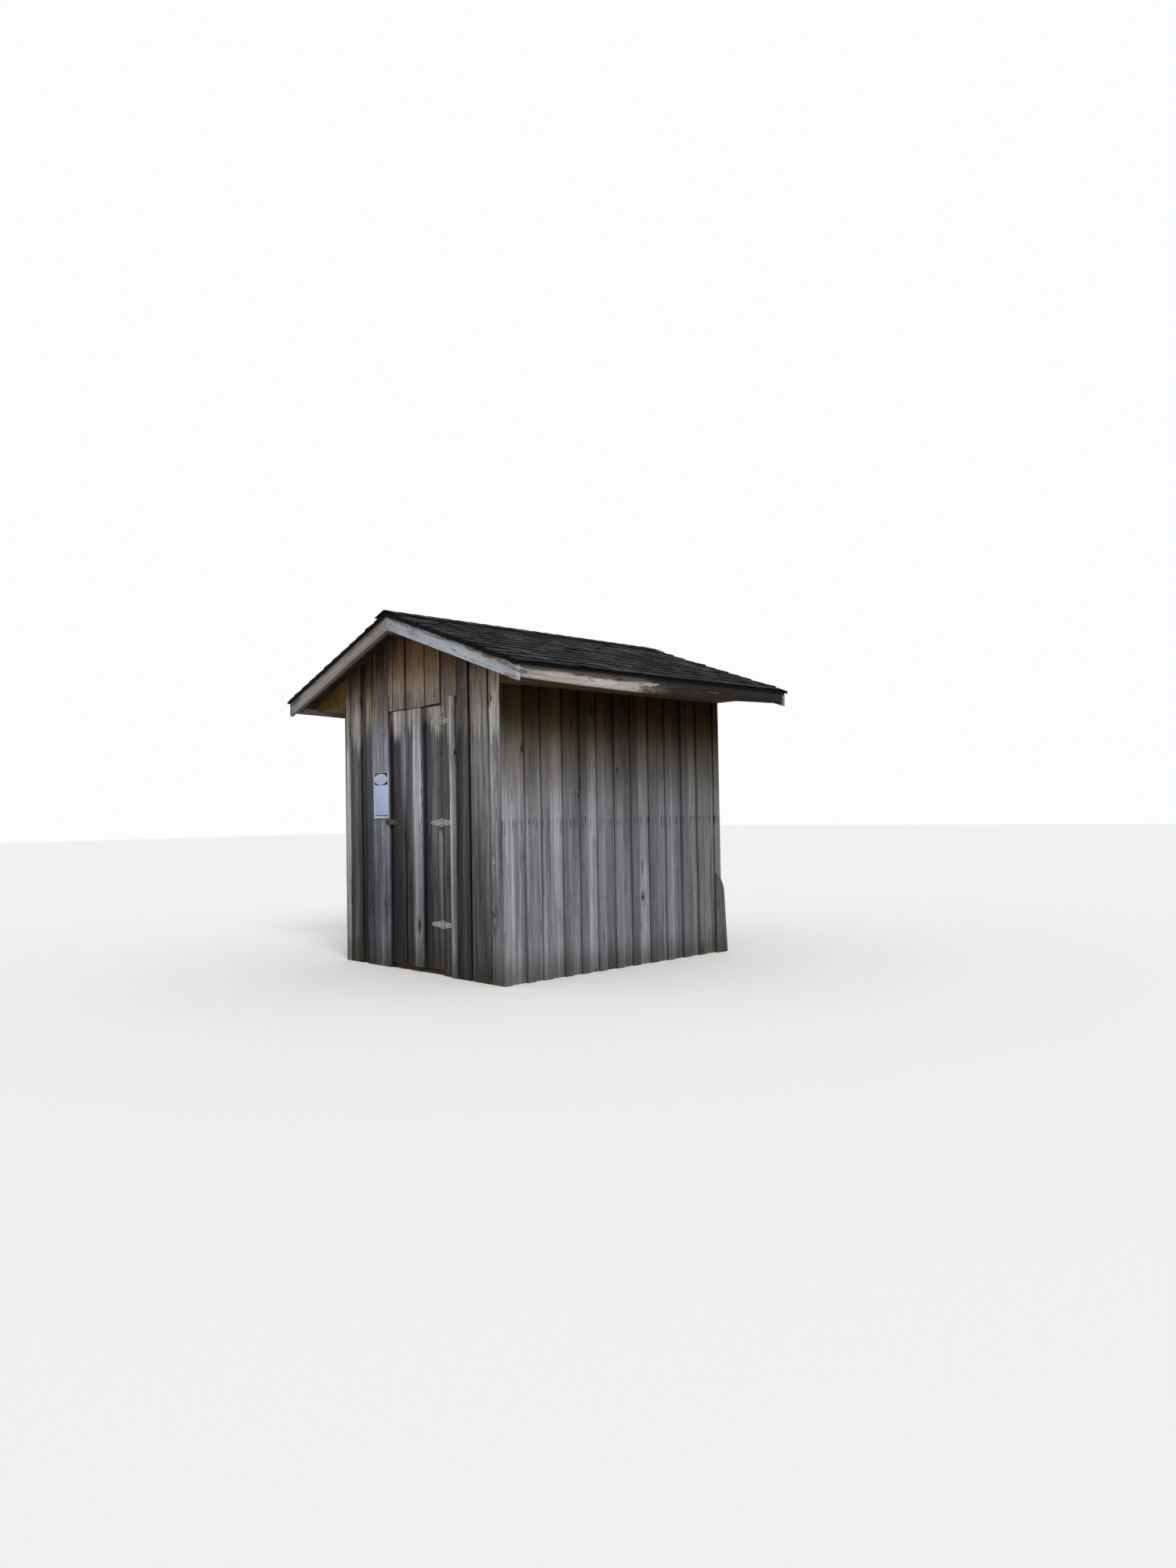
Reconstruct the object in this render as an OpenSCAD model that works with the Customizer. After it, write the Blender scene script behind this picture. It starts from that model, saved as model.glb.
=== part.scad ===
// Board-and-batten outhouse with a low gable roof and one plank door.
// The front gable faces -Y, the ridge runs along Y, and z = 0 is the ground.

/* [Walls] */
// Width across the corner boards
body_w = 2134; // [1900:2:2500]
// Length across the corner boards
body_l = 2421; // [2100:1:2800]
// Thickness of the wall boards
board_t = 22; // [18:1:28]
// Thickness of the battens and overlaid boards
batten_t = 20; // [14:1:26]
// Width of a side batten
batten_w = 81; // [60:1:100]
// Wanted spacing of the side battens
board_pitch = 194; // [160:1:240]
// How far a batten may stray from an even spacing
batten_stray = 27; // [0:1:35]
// How ragged the lower ends of the boards over the door are
head_ragged = 7; // [0:1:20]
// Open joint between neighbouring boards
board_gap = 4; // [2:0.5:8]
// Width of the corner boards on the side and back walls
corner_w = 70; // [50:1:100]
// Width of the left corner board on the front
front_corner_left_w = 59; // [45:1:90]
// Width of the right corner board on the front
front_corner_right_w = 125; // [90:1:140]
// Height of the short board over the foot of the right rear corner
patch_h = 685; // [400:1:900]
// Width of that board below its rounded shoulder
patch_w = 100; // [80:1:140]
// Thickness of that board
patch_t = 18; // [12:1:25]
// How far that board passes the corner below its shoulder
patch_proud = 22; // [0:1:40]
// How much wider that board is at the ground
patch_flare = 32; // [0:1:50]
// Radius of that board's rounded shoulder
patch_round = 217; // [150:1:300]

/* [Roof] */
// Height of the rake boards' top edge at the eave above the door head
eave_rise = 153; // [80:1:300]
// Slope of the roof in degrees
roof_pitch = 19.42; // [15:0.01:26]
// Overhang of the roof past the side walls
eave_overhang = 485; // [350:1:550]
// Overhang of the roof past the front wall
front_overhang = 258; // [180:1:350]
// Overhang of the roof past the back wall
back_overhang = 315; // [180:1:380]
// Thickness of the roof deck, measured plumb
deck_t = 20; // [15:1:28]
// Plumb height of the rake boards
rake_h = 113; // [98:1:140]
// Thickness of the rake boards
rake_t = 32; // [20:1:38]
// Height of the fascia boards at their ends
fascia_h = 88; // [80:1:120]
// How far the fascia's lower edge bellies down at mid-length
fascia_belly = 28; // [0:1:40]
// Thickness of the fascia boards
fascia_t = 25; // [18:1:32]
// Thickness of the soffit panels
soffit_t = 12; // [9:1:18]
// Height of the soffit's underside above the fascia's lower corners
soffit_lift = 24; // [15:1:50]
// Exposed length of one shingle course
shingle_exposure = 137; // [110:1:150]
// Thickness of the shingles under a butt edge
shingle_t = 7; // [5:0.5:10]
// Height of a shingle butt edge
shingle_step = 7; // [4:0.5:10]
// Play between the layers of the roof, measured plumb
lay_gap = 0.1; // [0.05:0.05:0.5]
// How far the deck and then the shingles pass the boards under them
roof_lip = 12; // [6:1:20]
// Width of the ridge cap on each slope
cap_w = 150; // [110:1:180]

/* [Doorway] */
// Distance from the left corner to the doorway
door_from_left = 691; // [600:1:760]
// Width of the doorway between the wall boards
door_w = 699; // [620:1:800]
// Height of the door head above the ground
door_head = 2071; // [1900:1:2120]
// Clearance round the door leaf
door_gap = 6; // [5:0.5:10]
// Height of the leaf's lower edge above the ground
door_foot = 40; // [20:1:80]
// Width of a ledge on the back of the door
ledge_w = 120; // [90:1:150]
// Distance from the door head down to the middle of the top hinge
hinge_inset_top = 129; // [90:1:200]
// Distance from the leaf's lower edge up to the middle of the lowest hinge
hinge_inset_foot = 348; // [200:1:420]
// Width of the batten beside the hinges
hinge_batten_w = 70; // [50:1:90]
// How far that batten reaches above the door head
hinge_batten_rise = 49; // [20:1:80]

/* [Frame] */
// Depth of a stud, square to the wall
stud_d = 89; // [70:1:100]
// Thickness of studs, joists and rafters
stud_t = 38; // [32:1:45]
// Thickness of the floor boards
floor_t = 22; // [18:1:30]
// Wanted spacing of the joists and rafters
joist_pitch = 600; // [400:1:800]
// Thickness of the ridge board
ridge_t = 25; // [20:1:38]
// Height of the ridge board
ridge_h = 140; // [120:1:160]

/* [Hardware] */
// Length of a hinge's leaf on the wall, from the pin to its tip
leaf_l = 124; // [100:1:150]
// Length of a hinge's leaf on the door, from the pin to its tip
door_leaf_l = 150; // [100:1:165]
// Height of a hinge leaf beside the knuckles
leaf_h = 58; // [44:1:70]
// Height of a hinge leaf at its tip
leaf_tip_h = 26; // [16:1:40]
// Thickness of the hinge leaves
leaf_t = 3; // [2:0.5:4]
// Height of a hinge's row of knuckles
barrel_h = 66; // [50:1:90]
// Outer radius of a knuckle
knuckle_r = 6.5; // [5.5:0.1:9]
// Radius of the hinge pin
pin_r = 3; // [2.5:0.1:3.4]
// Radial clearance of the pin in the door's knuckles
pin_clear = 0.08; // [0.05:0.01:0.1]
// Gap between neighbouring knuckles
knuckle_gap = 0.6; // [0.4:0.1:1]
// Width of the sign
sign_w = 204; // [150:1:230]
// Height of the sign
sign_h = 376; // [300:1:450]
// Thickness of the sign
sign_t = 12; // [8:1:20]
// Width of the sign's raised rim
sign_rim = 5; // [3:0.5:12]
// Height of the field at the sign's head
sign_head_h = 100; // [70:1:130]
// Height of the sign's lower edge above the middle of the hasp
sign_lift = 33; // [30:1:120]
// Distance of the sign's middle from the middle of the board that carries it
sign_shift = 21; // [0:1:30]
// Height of the hasp above the ground
hasp_z = 1174; // [1000:1:1195]

/* [Hidden] */
$fn = 32;

// Walls: the front and back planes, and where the boards and the frame lie behind them
body_y = (front_overhang - back_overhang) / 2;
front_y = body_y - body_l / 2;
back_y = body_y + body_l / 2;
side_x = body_w / 2;
board_x = side_x - batten_t;
frame_x = board_x - board_t;
board_y0 = front_y + batten_t;
frame_y0 = board_y0 + board_t;
board_y1 = back_y - batten_t;
frame_y1 = board_y1 - board_t;

// Roof planes: roof_z is the top of the rafters and rake boards, deck_z the underside of the deck
eave_h = door_head + eave_rise;
slope = tan(roof_pitch);
half_span = side_x + eave_overhang;
ridge_z = eave_h + slope * half_span;
roof_y0 = front_y - front_overhang;
roof_y1 = back_y + back_overhang;
rafter_h = stud_d / cos(roof_pitch);
tail_x = half_span - fascia_t;
fascia_z = eave_h - fascia_h;
soffit_z = fascia_z + soffit_lift;
soffit_top = soffit_z + soffit_t;
heel = 25;
plate_top = roof_z(frame_x) - rafter_h + heel;
plate_z = plate_top - 2 * stud_t;
wall_top = roof_z(board_x) - rafter_h - board_gap;
beyond = 2 * half_span;

// Floor and frame heights
floor_z = stud_d;
post_z = floor_z + floor_t;
girt_h = stud_d;
frame_ys = even(round((frame_y1 - frame_y0) / joist_pitch), frame_y0, frame_y1 - stud_t);

// Doorway: the leaf closes in front of the posts, one gap away from them
door_x0 = door_from_left - side_x;
door_x1 = door_x0 + door_w;
stop_lap = 15;
leaf_x0 = door_x0 + door_gap;
leaf_x1 = door_x1 - door_gap;
leaf_top = door_head - door_gap;
leaf_y1 = frame_y0 - door_gap;
leaf_y0 = leaf_y1 - board_t;
overlay_y0 = leaf_y0 - batten_t;
axis_x = door_x1 - door_gap / 2;
axis_y = leaf_y0 - knuckle_r;
leaf_end_gap = 1;
hinge_batten_x = axis_x + leaf_l + leaf_end_gap;
hinge_batten_top = door_head + hinge_batten_rise;
jamb_x1 = hinge_batten_x + hinge_batten_w + board_gap / 2;
post_xs = [door_x0 + stop_lap - stud_t, door_x1 - stop_lap];

// Overlaid boards on the front, as shares of the stretch that they fill
left_overlays = [[0.142, 0.362], [0.486, 0.602], [0.615, 0.970]];
right_overlays = [[0.022, 0.276], [0.335, 0.702]];
door_overlays = [[0.094, 0.309], [0.386, 0.639]];
head_overlays = [[-0.02, 0.063], [0.077, 0.306], [0.349, 0.702], [0.721, 0.995]];
stile_share = 0.718;

// Shares of the rag and of the stray that each board has, as they were cut and nailed by eye
head_rag = [0, 0.3, 0, 1];
batten_rag = [0.74, -0.44, 0.33, -0.33, -0.7, -0.81, -1, -0.41, -0.15, 0.07, 0.33];

// Hinges: the middle one lies on the nailing girt
hinge_low = door_foot + hinge_inset_foot;
hinge_high = door_head - hinge_inset_top;
hinge_mid = (hinge_low + hinge_high) / 2;
hinge_zs = [hinge_low, hinge_mid, hinge_high];
knuckles = 5;
knuckle_h = (barrel_h + knuckle_gap) / knuckles;
leaf_root = knuckle_r + 1;
pin_head = 2;

// Hasp
hasp_t = 3;
hasp_plate_l = 55;
hasp_end = 8;
hasp_side = 6;
hasp_knuckle_r = 3.5;
loop_r = 2.5;
loop_w = 22;
loop_reach = 22;
slot_clear = 4;
staple_plate_w = 30;
staple_plate_h = 46;
staple_plate_t = 2;

function roof_z(x) = ridge_z - slope * abs(x);
function deck_z(x) = roof_z(x) + lay_gap;
function share(span, a, b) = [for (s = span) [a + s[0] * (b - a), a + s[1] * (b - a)]];
function mids(list) = [for (p = list) (p[0] + p[1]) / 2];
function even(n, a, b) = [for (i = [0:n]) a + i * (b - a) / n];
function drift(i) = batten_stray * batten_rag[i % len(batten_rag)];

// Box between two opposite corners
module box(a, b) {
    translate(a) cube(b - a);
}

// Profile drawn in X and Z, carried along Y from y0 to y1
module along_y(y0, y1) {
    translate([0, y1, 0]) rotate([90, 0, 0]) linear_extrude(y1 - y0) children();
}

module mirrored(on) {
    if (on) mirror([1, 0, 0]) children();
    else children();
}

// Area under the roof's underside between two heights, in X and Z
module gable_shape(low, drop = 0) {
    polygon([[-half_span, low], [half_span, low], [half_span, roof_z(half_span) - drop],
        [0, ridge_z - drop], [-half_span, roof_z(half_span) - drop]]);
}

// Boards that stand between successive edges in X, cut off under the roof
module front_row(edges, low, y0, y1) {
    difference() {
        along_y(y0, y1) intersection() {
            gable_shape(low);
            for (i = [0:len(edges) - 2])
                translate([edges[i] + (i > 0 ? board_gap / 2 : 0), low])
                    square([edges[i + 1] - edges[i] - (i > 0 ? board_gap / 2 : 0)
                        - (i < len(edges) - 2 ? board_gap / 2 : 0), ridge_z]);
        }
        ridge_notch();
    }
}

// Overlaid boards between pairs of edges in X, cut off under the roof
module front_overlays(pairs, lows, y0, y1) {
    difference() {
        along_y(y0, y1) for (i = [0:len(pairs) - 1])
            intersection() {
                gable_shape(lows[i]);
                translate([pairs[i][0], lows[i]]) square([pairs[i][1] - pairs[i][0], ridge_z]);
            }
        ridge_notch();
    }
}

// Floor
module floor_rims() {
    color("saddlebrown") for (on_left = [false, true]) mirrored(on_left)
        box([frame_x - stud_t, frame_y0, 0], [frame_x, frame_y1, floor_z]);
}

module floor_joists() {
    color("saddlebrown") for (y = frame_ys)
        box([stud_t - frame_x, y, 0], [frame_x - stud_t, y + stud_t, floor_z]);
}

module floor_boards() {
    xs = even(round(2 * frame_x / board_pitch), -frame_x, frame_x);
    color("tan") for (i = [0:len(xs) - 2])
        box([xs[i] + (i > 0 ? board_gap : 0), frame_y0, floor_z], [xs[i + 1], frame_y1, post_z]);
}

// Wall frame
module wall_posts() {
    color("saddlebrown") {
        for (on_left = [false, true], y = [frame_y0, frame_y1 - stud_d]) mirrored(on_left)
            box([frame_x - stud_d, y, post_z], [frame_x, y + stud_d, plate_z]);
        for (x = post_xs)
            box([x, frame_y0, post_z], [x + stud_t, frame_y0 + stud_d, plate_z]);
    }
}

module side_plates() {
    color("saddlebrown") for (on_left = [false, true]) mirrored(on_left)
        box([frame_x - stud_d, frame_y0, plate_z], [frame_x, frame_y1, plate_top]);
}

module end_plates() {
    color("saddlebrown") for (y = [frame_y0, frame_y1 - stud_d])
        box([stud_d - frame_x, y, plate_z], [frame_x - stud_d, y + stud_d, plate_top]);
}

module wall_girts() {
    inner_y = [frame_y0 + stud_d, frame_y1 - stud_d];
    low = hinge_mid - girt_h / 2;
    high = hinge_mid + girt_h / 2;
    color("saddlebrown") {
        for (on_left = [false, true]) mirrored(on_left)
            box([frame_x - stud_t, inner_y[0], low], [frame_x, inner_y[1], high]);
        box([stud_d - frame_x, frame_y1 - stud_t, low], [frame_x - stud_d, frame_y1, high]);
        box([stud_d - frame_x, frame_y0, low], [post_xs[0], frame_y0 + stud_t, high]);
        box([post_xs[1] + stud_t, frame_y0, low], [frame_x - stud_d, frame_y0 + stud_t, high]);
        box([post_xs[0] + stud_t, frame_y0, door_head - stop_lap],
            [post_xs[1], frame_y0 + stud_t, door_head - stop_lap + girt_h]);
    }
}

// Short studs between the end plates and the roof, two of them over the door posts
module gable_struts() {
    color("saddlebrown") for (y = [frame_y0, frame_y1 - stud_t])
        along_y(y, y + stud_t) intersection() {
            gable_shape(plate_top, rafter_h + lay_gap);
            union() {
                for (x = post_xs) translate([x, plate_top]) square([stud_t, ridge_z]);
                translate([-stud_t / 2, plate_top])
                    square([stud_t, ridge_core_z() - ridge_h - plate_top]);
            }
        }
}

// Roof frame
function ridge_core_z() = roof_z(ridge_t / 2);

module ridge_core() {
    box([-ridge_t / 2, roof_y0 + rake_t, ridge_core_z() - ridge_h],
        [ridge_t / 2, roof_y1 - rake_t, ridge_core_z()]);
}

// Notch in the gable boards that the ridge board passes through
module ridge_notch() {
    box([-ridge_t / 2, front_y - 1, ridge_core_z() - ridge_h], [ridge_t / 2, back_y + 1, ridge_z]);
}

module ridge_board() {
    color("saddlebrown") ridge_core();
}

// One rafter on the +X side: plumb cut at the ridge, seat on the plate, level cut at the soffit
module rafter(y, seated) {
    low = seated ? soffit_top : 0;
    along_y(y, y + stud_t) difference() {
        intersection() {
            polygon([[ridge_t / 2, roof_z(ridge_t / 2)], [tail_x, roof_z(tail_x)],
                [tail_x, roof_z(tail_x) - rafter_h],
                [ridge_t / 2, roof_z(ridge_t / 2) - rafter_h]]);
            translate([0, low]) square([half_span, ridge_z]);
        }
        if (seated) square([frame_x, plate_top]);
    }
}

module rafters(on_left) {
    color("saddlebrown") mirrored(on_left) {
        for (y = frame_ys) rafter(y, true);
        for (y = [roof_y0 + rake_t, roof_y1 - rake_t - stud_t]) rafter(y, false);
    }
}

// Roof covering
module roof_deck(on_left) {
    edge = half_span + roof_lip;
    color("peru") mirrored(on_left)
        along_y(roof_y0 - roof_lip, roof_y1 + roof_lip)
            polygon([[0, deck_z(0)], [edge, deck_z(edge)], [edge, deck_z(edge) + deck_t],
                [0, deck_z(0) + deck_t]]);
}

// Point s up the slope from the shingles' lower edge and n off the deck
function on_slope(s, n) = [half_span + 2 * roof_lip - s * cos(roof_pitch) + n * sin(roof_pitch),
    deck_z(half_span + 2 * roof_lip) + lay_gap + deck_t + s * sin(roof_pitch) + n * cos(roof_pitch)];

module shingles(on_left) {
    run = (half_span + 2 * roof_lip) / cos(roof_pitch);
    courses = ceil(run / shingle_exposure);
    color("dimgray") mirrored(on_left)
        along_y(roof_y0 - 2 * roof_lip, roof_y1 + 2 * roof_lip) intersection() {
            polygon(concat([on_slope((courses + 1) * shingle_exposure, 0), on_slope(0, 0)],
                [for (i = [0:courses]) each [
                    on_slope(i * shingle_exposure, shingle_t + shingle_step),
                    on_slope((i + 1) * shingle_exposure, shingle_t)]]));
            square([beyond, 2 * ridge_z]);
        }
}

module ridge_cap() {
    lift = 3 * lay_gap + deck_t + (shingle_t + shingle_step) / cos(roof_pitch);
    top = lift + shingle_t / cos(roof_pitch);
    edge = cap_w * cos(roof_pitch);
    color("dimgray") along_y(roof_y0 - 2 * roof_lip, roof_y1 + 2 * roof_lip)
        polygon([[0, ridge_z + lift], [edge, roof_z(edge) + lift], [edge, roof_z(edge) + top],
            [0, ridge_z + top], [-edge, roof_z(edge) + top], [-edge, roof_z(edge) + lift]]);
}

// Fascia: its top follows the slope, and its lower edge bellies down between the corners
module fascia(on_left) {
    ends = [roof_y0 + rake_t, roof_y1 - rake_t];
    steps = 16;
    outline = concat([[ends[1], roof_z(tail_x)], [ends[0], roof_z(tail_x)]],
        [for (i = [0:steps]) [ends[0] + (ends[1] - ends[0]) * i / steps,
            fascia_z - fascia_belly * (1 - pow(2 * i / steps - 1, 2))]]);
    color("lightgray") mirrored(on_left) intersection() {
        translate([tail_x, 0, 0]) rotate([90, 0, 90]) linear_extrude(fascia_t) polygon(outline);
        along_y(ends[0], ends[1]) gable_shape(0);
    }
}

module rake(on_left, y) {
    color("lightgray") mirrored(on_left) along_y(y, y + rake_t)
        polygon([[0, ridge_z], [half_span, eave_h], [half_span, eave_h - rake_h],
            [0, ridge_z - rake_h]]);
}

// Level soffit with the two plates that close the eave box in the planes of the gable walls
module soffit(on_left) {
    plate_t = batten_t;
    color("peru") mirrored(on_left) union() {
        box([board_x, front_y, soffit_z], [tail_x, back_y, soffit_top]);
        for (y = [front_y, back_y - plate_t])
            along_y(y, y + plate_t)
                polygon([[board_x, soffit_z], [tail_x, soffit_z], [tail_x, roof_z(tail_x)],
                    [board_x, roof_z(board_x)]]);
    }
}

// Side walls: board i runs from joint i to joint i + 1, and a batten covers each joint
side_stretch = body_l - corner_w - (corner_w - batten_w);
side_n = round(side_stretch / board_pitch);
function batten_y(i) = front_y + i * (body_l - corner_w - batten_w / 2) / side_n + drift(i - 1);
function side_edges() = concat([board_y0],
    [for (i = [1:side_n - 1]) batten_y(i) + batten_w / 2], [board_y1]);

module side_boards(on_left) {
    e = side_edges();
    color("dimgray") mirrored(on_left) for (i = [0:len(e) - 2])
        box([frame_x, e[i] + (i > 0 ? board_gap : 0), 0], [board_x, e[i + 1], wall_top]);
    if (!on_left) corner_patch();
}

module side_battens(on_left) {
    color("gray") mirrored(on_left) {
        for (i = [1:side_n - 1])
            box([board_x, batten_y(i), 0], [side_x, batten_y(i) + batten_w, soffit_z]);
        for (y = [front_y, back_y - corner_w])
            box([board_x, y, 0], [side_x, y + corner_w, soffit_z]);
    }
}

// Short board over the foot of the right rear corner, with a rounded shoulder and a flared foot
module corner_patch() {
    shoulder_z = patch_h - sqrt(pow(patch_round, 2) - pow(patch_round - patch_w, 2));
    color("dimgray") translate([side_x, back_y + patch_proud - patch_w, 0])
        rotate([90, 0, 90]) linear_extrude(patch_t) {
            polygon([[0, 0], [patch_w + patch_flare, 0], [patch_w, shoulder_z], [0, shoulder_z]]);
            intersection() {
                translate([0, shoulder_z]) square([patch_w, patch_h]);
                translate([patch_w - patch_round, shoulder_z]) circle(patch_round);
            }
        }
}

// Back wall
back_n = round(2 * board_x / board_pitch);
function back_pitch() = 2 * board_x / back_n;
function back_batten_x(i) = -board_x + i * back_pitch() + drift(i) / 2;

module back_wall_boards() {
    color("dimgray") front_row(concat([-frame_x], [for (i = [1:back_n - 1]) back_batten_x(i)],
        [frame_x]), 0, frame_y1, board_y1);
}

module back_wall_battens() {
    pairs = concat([[-board_x, corner_w - side_x]],
        [for (i = [1:back_n - 1]) [back_batten_x(i) - batten_w / 2, back_batten_x(i) + batten_w / 2]],
        [[side_x - corner_w, board_x]]);
    color("gray") front_overlays(pairs, [for (p = pairs) 0], board_y1, back_y);
}

// Front wall
left_pairs = share(left_overlays, -side_x, door_x0);
right_pairs = share(right_overlays, jamb_x1, side_x);
head_pairs = share(head_overlays, door_x0, door_x1);
door_pairs = share(door_overlays, door_x0, door_x1);

module front_boards_left() {
    color("dimgray") front_row(concat([-frame_x], mids(left_pairs), [door_x0]), 0,
        board_y0, frame_y0);
}

module front_boards_right() {
    color("dimgray") front_row(concat([jamb_x1 + board_gap], mids(right_pairs), [frame_x]), 0,
        board_y0, frame_y0);
}

module front_boards_over_door() {
    color("dimgray") front_row(concat([door_x0 + board_gap], mids([head_pairs[1], head_pairs[2],
        head_pairs[3]]), [door_x1 - board_gap]), door_head, board_y0, frame_y0);
}

module front_battens_left() {
    pairs = concat([[-board_x, front_corner_left_w - board_x]], left_pairs);
    color("gray") front_overlays(pairs, [for (p = pairs) 0], front_y, board_y0);
}

module front_battens_right() {
    pairs = concat(right_pairs, [[board_x - front_corner_right_w, board_x]]);
    color("gray") {
        front_overlays(pairs, [for (p = pairs) 0], front_y, board_y0);
        box([hinge_batten_x, overlay_y0, 0],
            [hinge_batten_x + hinge_batten_w, leaf_y0, hinge_batten_top]);
    }
}

module front_battens_over_door() {
    color("gray") front_overlays(head_pairs, [for (r = head_rag) door_head + r * head_ragged],
        front_y, board_y0);
}

// Thick board beside the doorway that carries the hinges
module hinge_jamb() {
    color("dimgray") along_y(leaf_y0, frame_y0) intersection() {
        gable_shape(0);
        translate([door_x1, 0]) square([jamb_x1 - door_x1, ridge_z]);
    }
}

// Sign: a raised rim round two fields
module sign_board() {
    sign_x = mids(left_pairs)[2] + sign_shift;
    field_x = sign_w / 2 - sign_rim;
    head_z = sign_h - sign_rim - sign_head_h;
    color("lavender") translate([sign_x, front_y, hasp_z + sign_lift]) difference() {
        box([-sign_w / 2, -sign_t, 0], [sign_w / 2, 0, sign_h]);
        box([-field_x, -sign_t - 1, sign_rim], [field_x, -sign_t / 2, head_z - sign_rim]);
        box([-field_x, -sign_t - 1, head_z], [field_x, -sign_t / 2, head_z + sign_head_h]);
    }
}

// Hinges: leaf i of a hinge holds every second knuckle
module hinge_leaf(towards, reach, first, bore) {
    plate = [[leaf_root, -leaf_h / 2], [leaf_root, leaf_h / 2], [reach - leaf_tip_h / 2, leaf_tip_h / 2],
        [reach, leaf_tip_h / 4], [reach, -leaf_tip_h / 4], [reach - leaf_tip_h / 2, -leaf_tip_h / 2]];
    difference() {
        union() {
            along_y(leaf_y0 - leaf_t, leaf_y0)
                translate([axis_x, 0]) mirror([towards < 0 ? 1 : 0, 0]) polygon(plate);
            for (k = [first:2:knuckles - 1]) translate([axis_x, 0, k * knuckle_h - barrel_h / 2]) {
                translate([0, axis_y, 0]) cylinder(r = knuckle_r, h = knuckle_h - knuckle_gap);
                translate([towards < 0 ? -leaf_root : 0, leaf_y0 - leaf_t, 0])
                    cube([leaf_root, leaf_t, knuckle_h - knuckle_gap]);
            }
        }
        if (bore) translate([axis_x, axis_y, -barrel_h])
            cylinder(r = pin_r + pin_clear, h = 2 * barrel_h);
    }
}

module hinge_wall_leaves() {
    color("lightgray") for (z = hinge_zs) translate([0, 0, z]) {
        hinge_leaf(1, leaf_l, 0, false);
        translate([axis_x, axis_y, -barrel_h / 2 - pin_head])
            cylinder(r = pin_r, h = barrel_h + 2 * pin_head);
    }
}

module hinge_door_leaves() {
    color("lightgray") for (z = hinge_zs) translate([0, 0, z])
        hinge_leaf(-1, door_leaf_l, 1, true);
}

// Door
module door_boards() {
    color("dimgray") along_y(leaf_y0, leaf_y1) {
        edges = concat([leaf_x0], mids(door_pairs), [door_x0 + stile_share * door_w, leaf_x1]);
        for (i = [0:len(edges) - 2])
            translate([edges[i] + (i > 0 ? board_gap : 0), door_foot])
                square([edges[i + 1] - edges[i] - (i > 0 ? board_gap : 0), leaf_top - door_foot]);
    }
}

module door_battens() {
    color("silver") for (p = door_pairs)
        box([p[0], overlay_y0, door_foot], [p[1], leaf_y0, leaf_top]);
}

module door_ledges() {
    x0 = door_x0 + stop_lap + 2 * door_gap;
    x1 = door_x1 - stop_lap - 2 * door_gap;
    color("saddlebrown") along_y(leaf_y1, leaf_y1 + board_t) union() {
        for (z = hinge_zs) translate([x0, z - ledge_w / 2]) square([x1 - x0, ledge_w]);
        for (i = [0, 1]) {
            low = hinge_zs[i] + ledge_w / 2;
            high = hinge_zs[i + 1] - ledge_w / 2;
            polygon([[x1, low], [x0 + ledge_w, high], [x0, high], [x1 - ledge_w, low]]);
        }
    }
}

// Hasp: the strap rides on the door and its slot passes over the staple on the wall
staple_x = left_pairs[2][1] - staple_plate_w / 2;
slot_h = loop_w + 2 * slot_clear;
strap_h = slot_h + 2 * hasp_side;

module hasp_strap() {
    slot_x = [staple_x - loop_r - slot_clear, staple_x + loop_r + slot_clear];
    pin_x = door_pairs[0][0] + hasp_knuckle_r;
    color("silver") translate([0, overlay_y0, hasp_z]) difference() {
        union() {
            box([slot_x[0] - hasp_end, -hasp_t, -strap_h / 2], [pin_x, 0, strap_h / 2]);
            translate([pin_x, -hasp_knuckle_r, -strap_h / 2]) cylinder(r = hasp_knuckle_r, h = strap_h);
            box([pin_x, -hasp_t, -strap_h / 2], [pin_x + hasp_plate_l, 0, strap_h / 2]);
        }
        box([slot_x[0], -hasp_t - 1, -slot_h / 2], [slot_x[1], 1, slot_h / 2]);
    }
}

module hasp_staple() {
    color("silver") translate([staple_x, front_y, hasp_z]) union() {
        box([-staple_plate_w / 2, -staple_plate_t, -staple_plate_h / 2],
            [staple_plate_w / 2, 0, staple_plate_h / 2]);
        for (s = [-1, 1]) translate([0, 0, s * (loop_w / 2 - loop_r)]) rotate([90, 0, 0])
            cylinder(r = loop_r, h = loop_reach);
        translate([0, -loop_reach, -loop_w / 2]) cylinder(r = loop_r, h = loop_w);
    }
}

floor_rims();
floor_joists();
floor_boards();
wall_posts();
side_plates();
end_plates();
wall_girts();
gable_struts();
rafters(true);  // rafters_left
rafters(false);  // rafters_right
ridge_board();
roof_deck(true);  // roof_deck_left
roof_deck(false);  // roof_deck_right
shingles(true);  // shingles_left
shingles(false);  // shingles_right
ridge_cap();
fascia(true);  // fascia_left
fascia(false);  // fascia_right
rake(true, roof_y0);  // rake_front_left
rake(false, roof_y0);  // rake_front_right
rake(true, roof_y1 - rake_t);  // rake_back_left
rake(false, roof_y1 - rake_t);  // rake_back_right
soffit(true);  // soffit_left
soffit(false);  // soffit_right
side_boards(true);  // left_wall_boards
side_battens(true);  // left_wall_battens
side_boards(false);  // right_wall_boards
side_battens(false);  // right_wall_battens
back_wall_boards();
back_wall_battens();
front_boards_left();
front_boards_right();
front_boards_over_door();
front_battens_left();
front_battens_right();
front_battens_over_door();
hinge_jamb();
sign_board();
hinge_wall_leaves();
hasp_staple();
door_boards();
door_battens();
door_ledges();
hinge_door_leaves();
hasp_strap();
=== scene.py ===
import math
import random

import bmesh
import bpy
from mathutils import Matrix, Vector, noise


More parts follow.
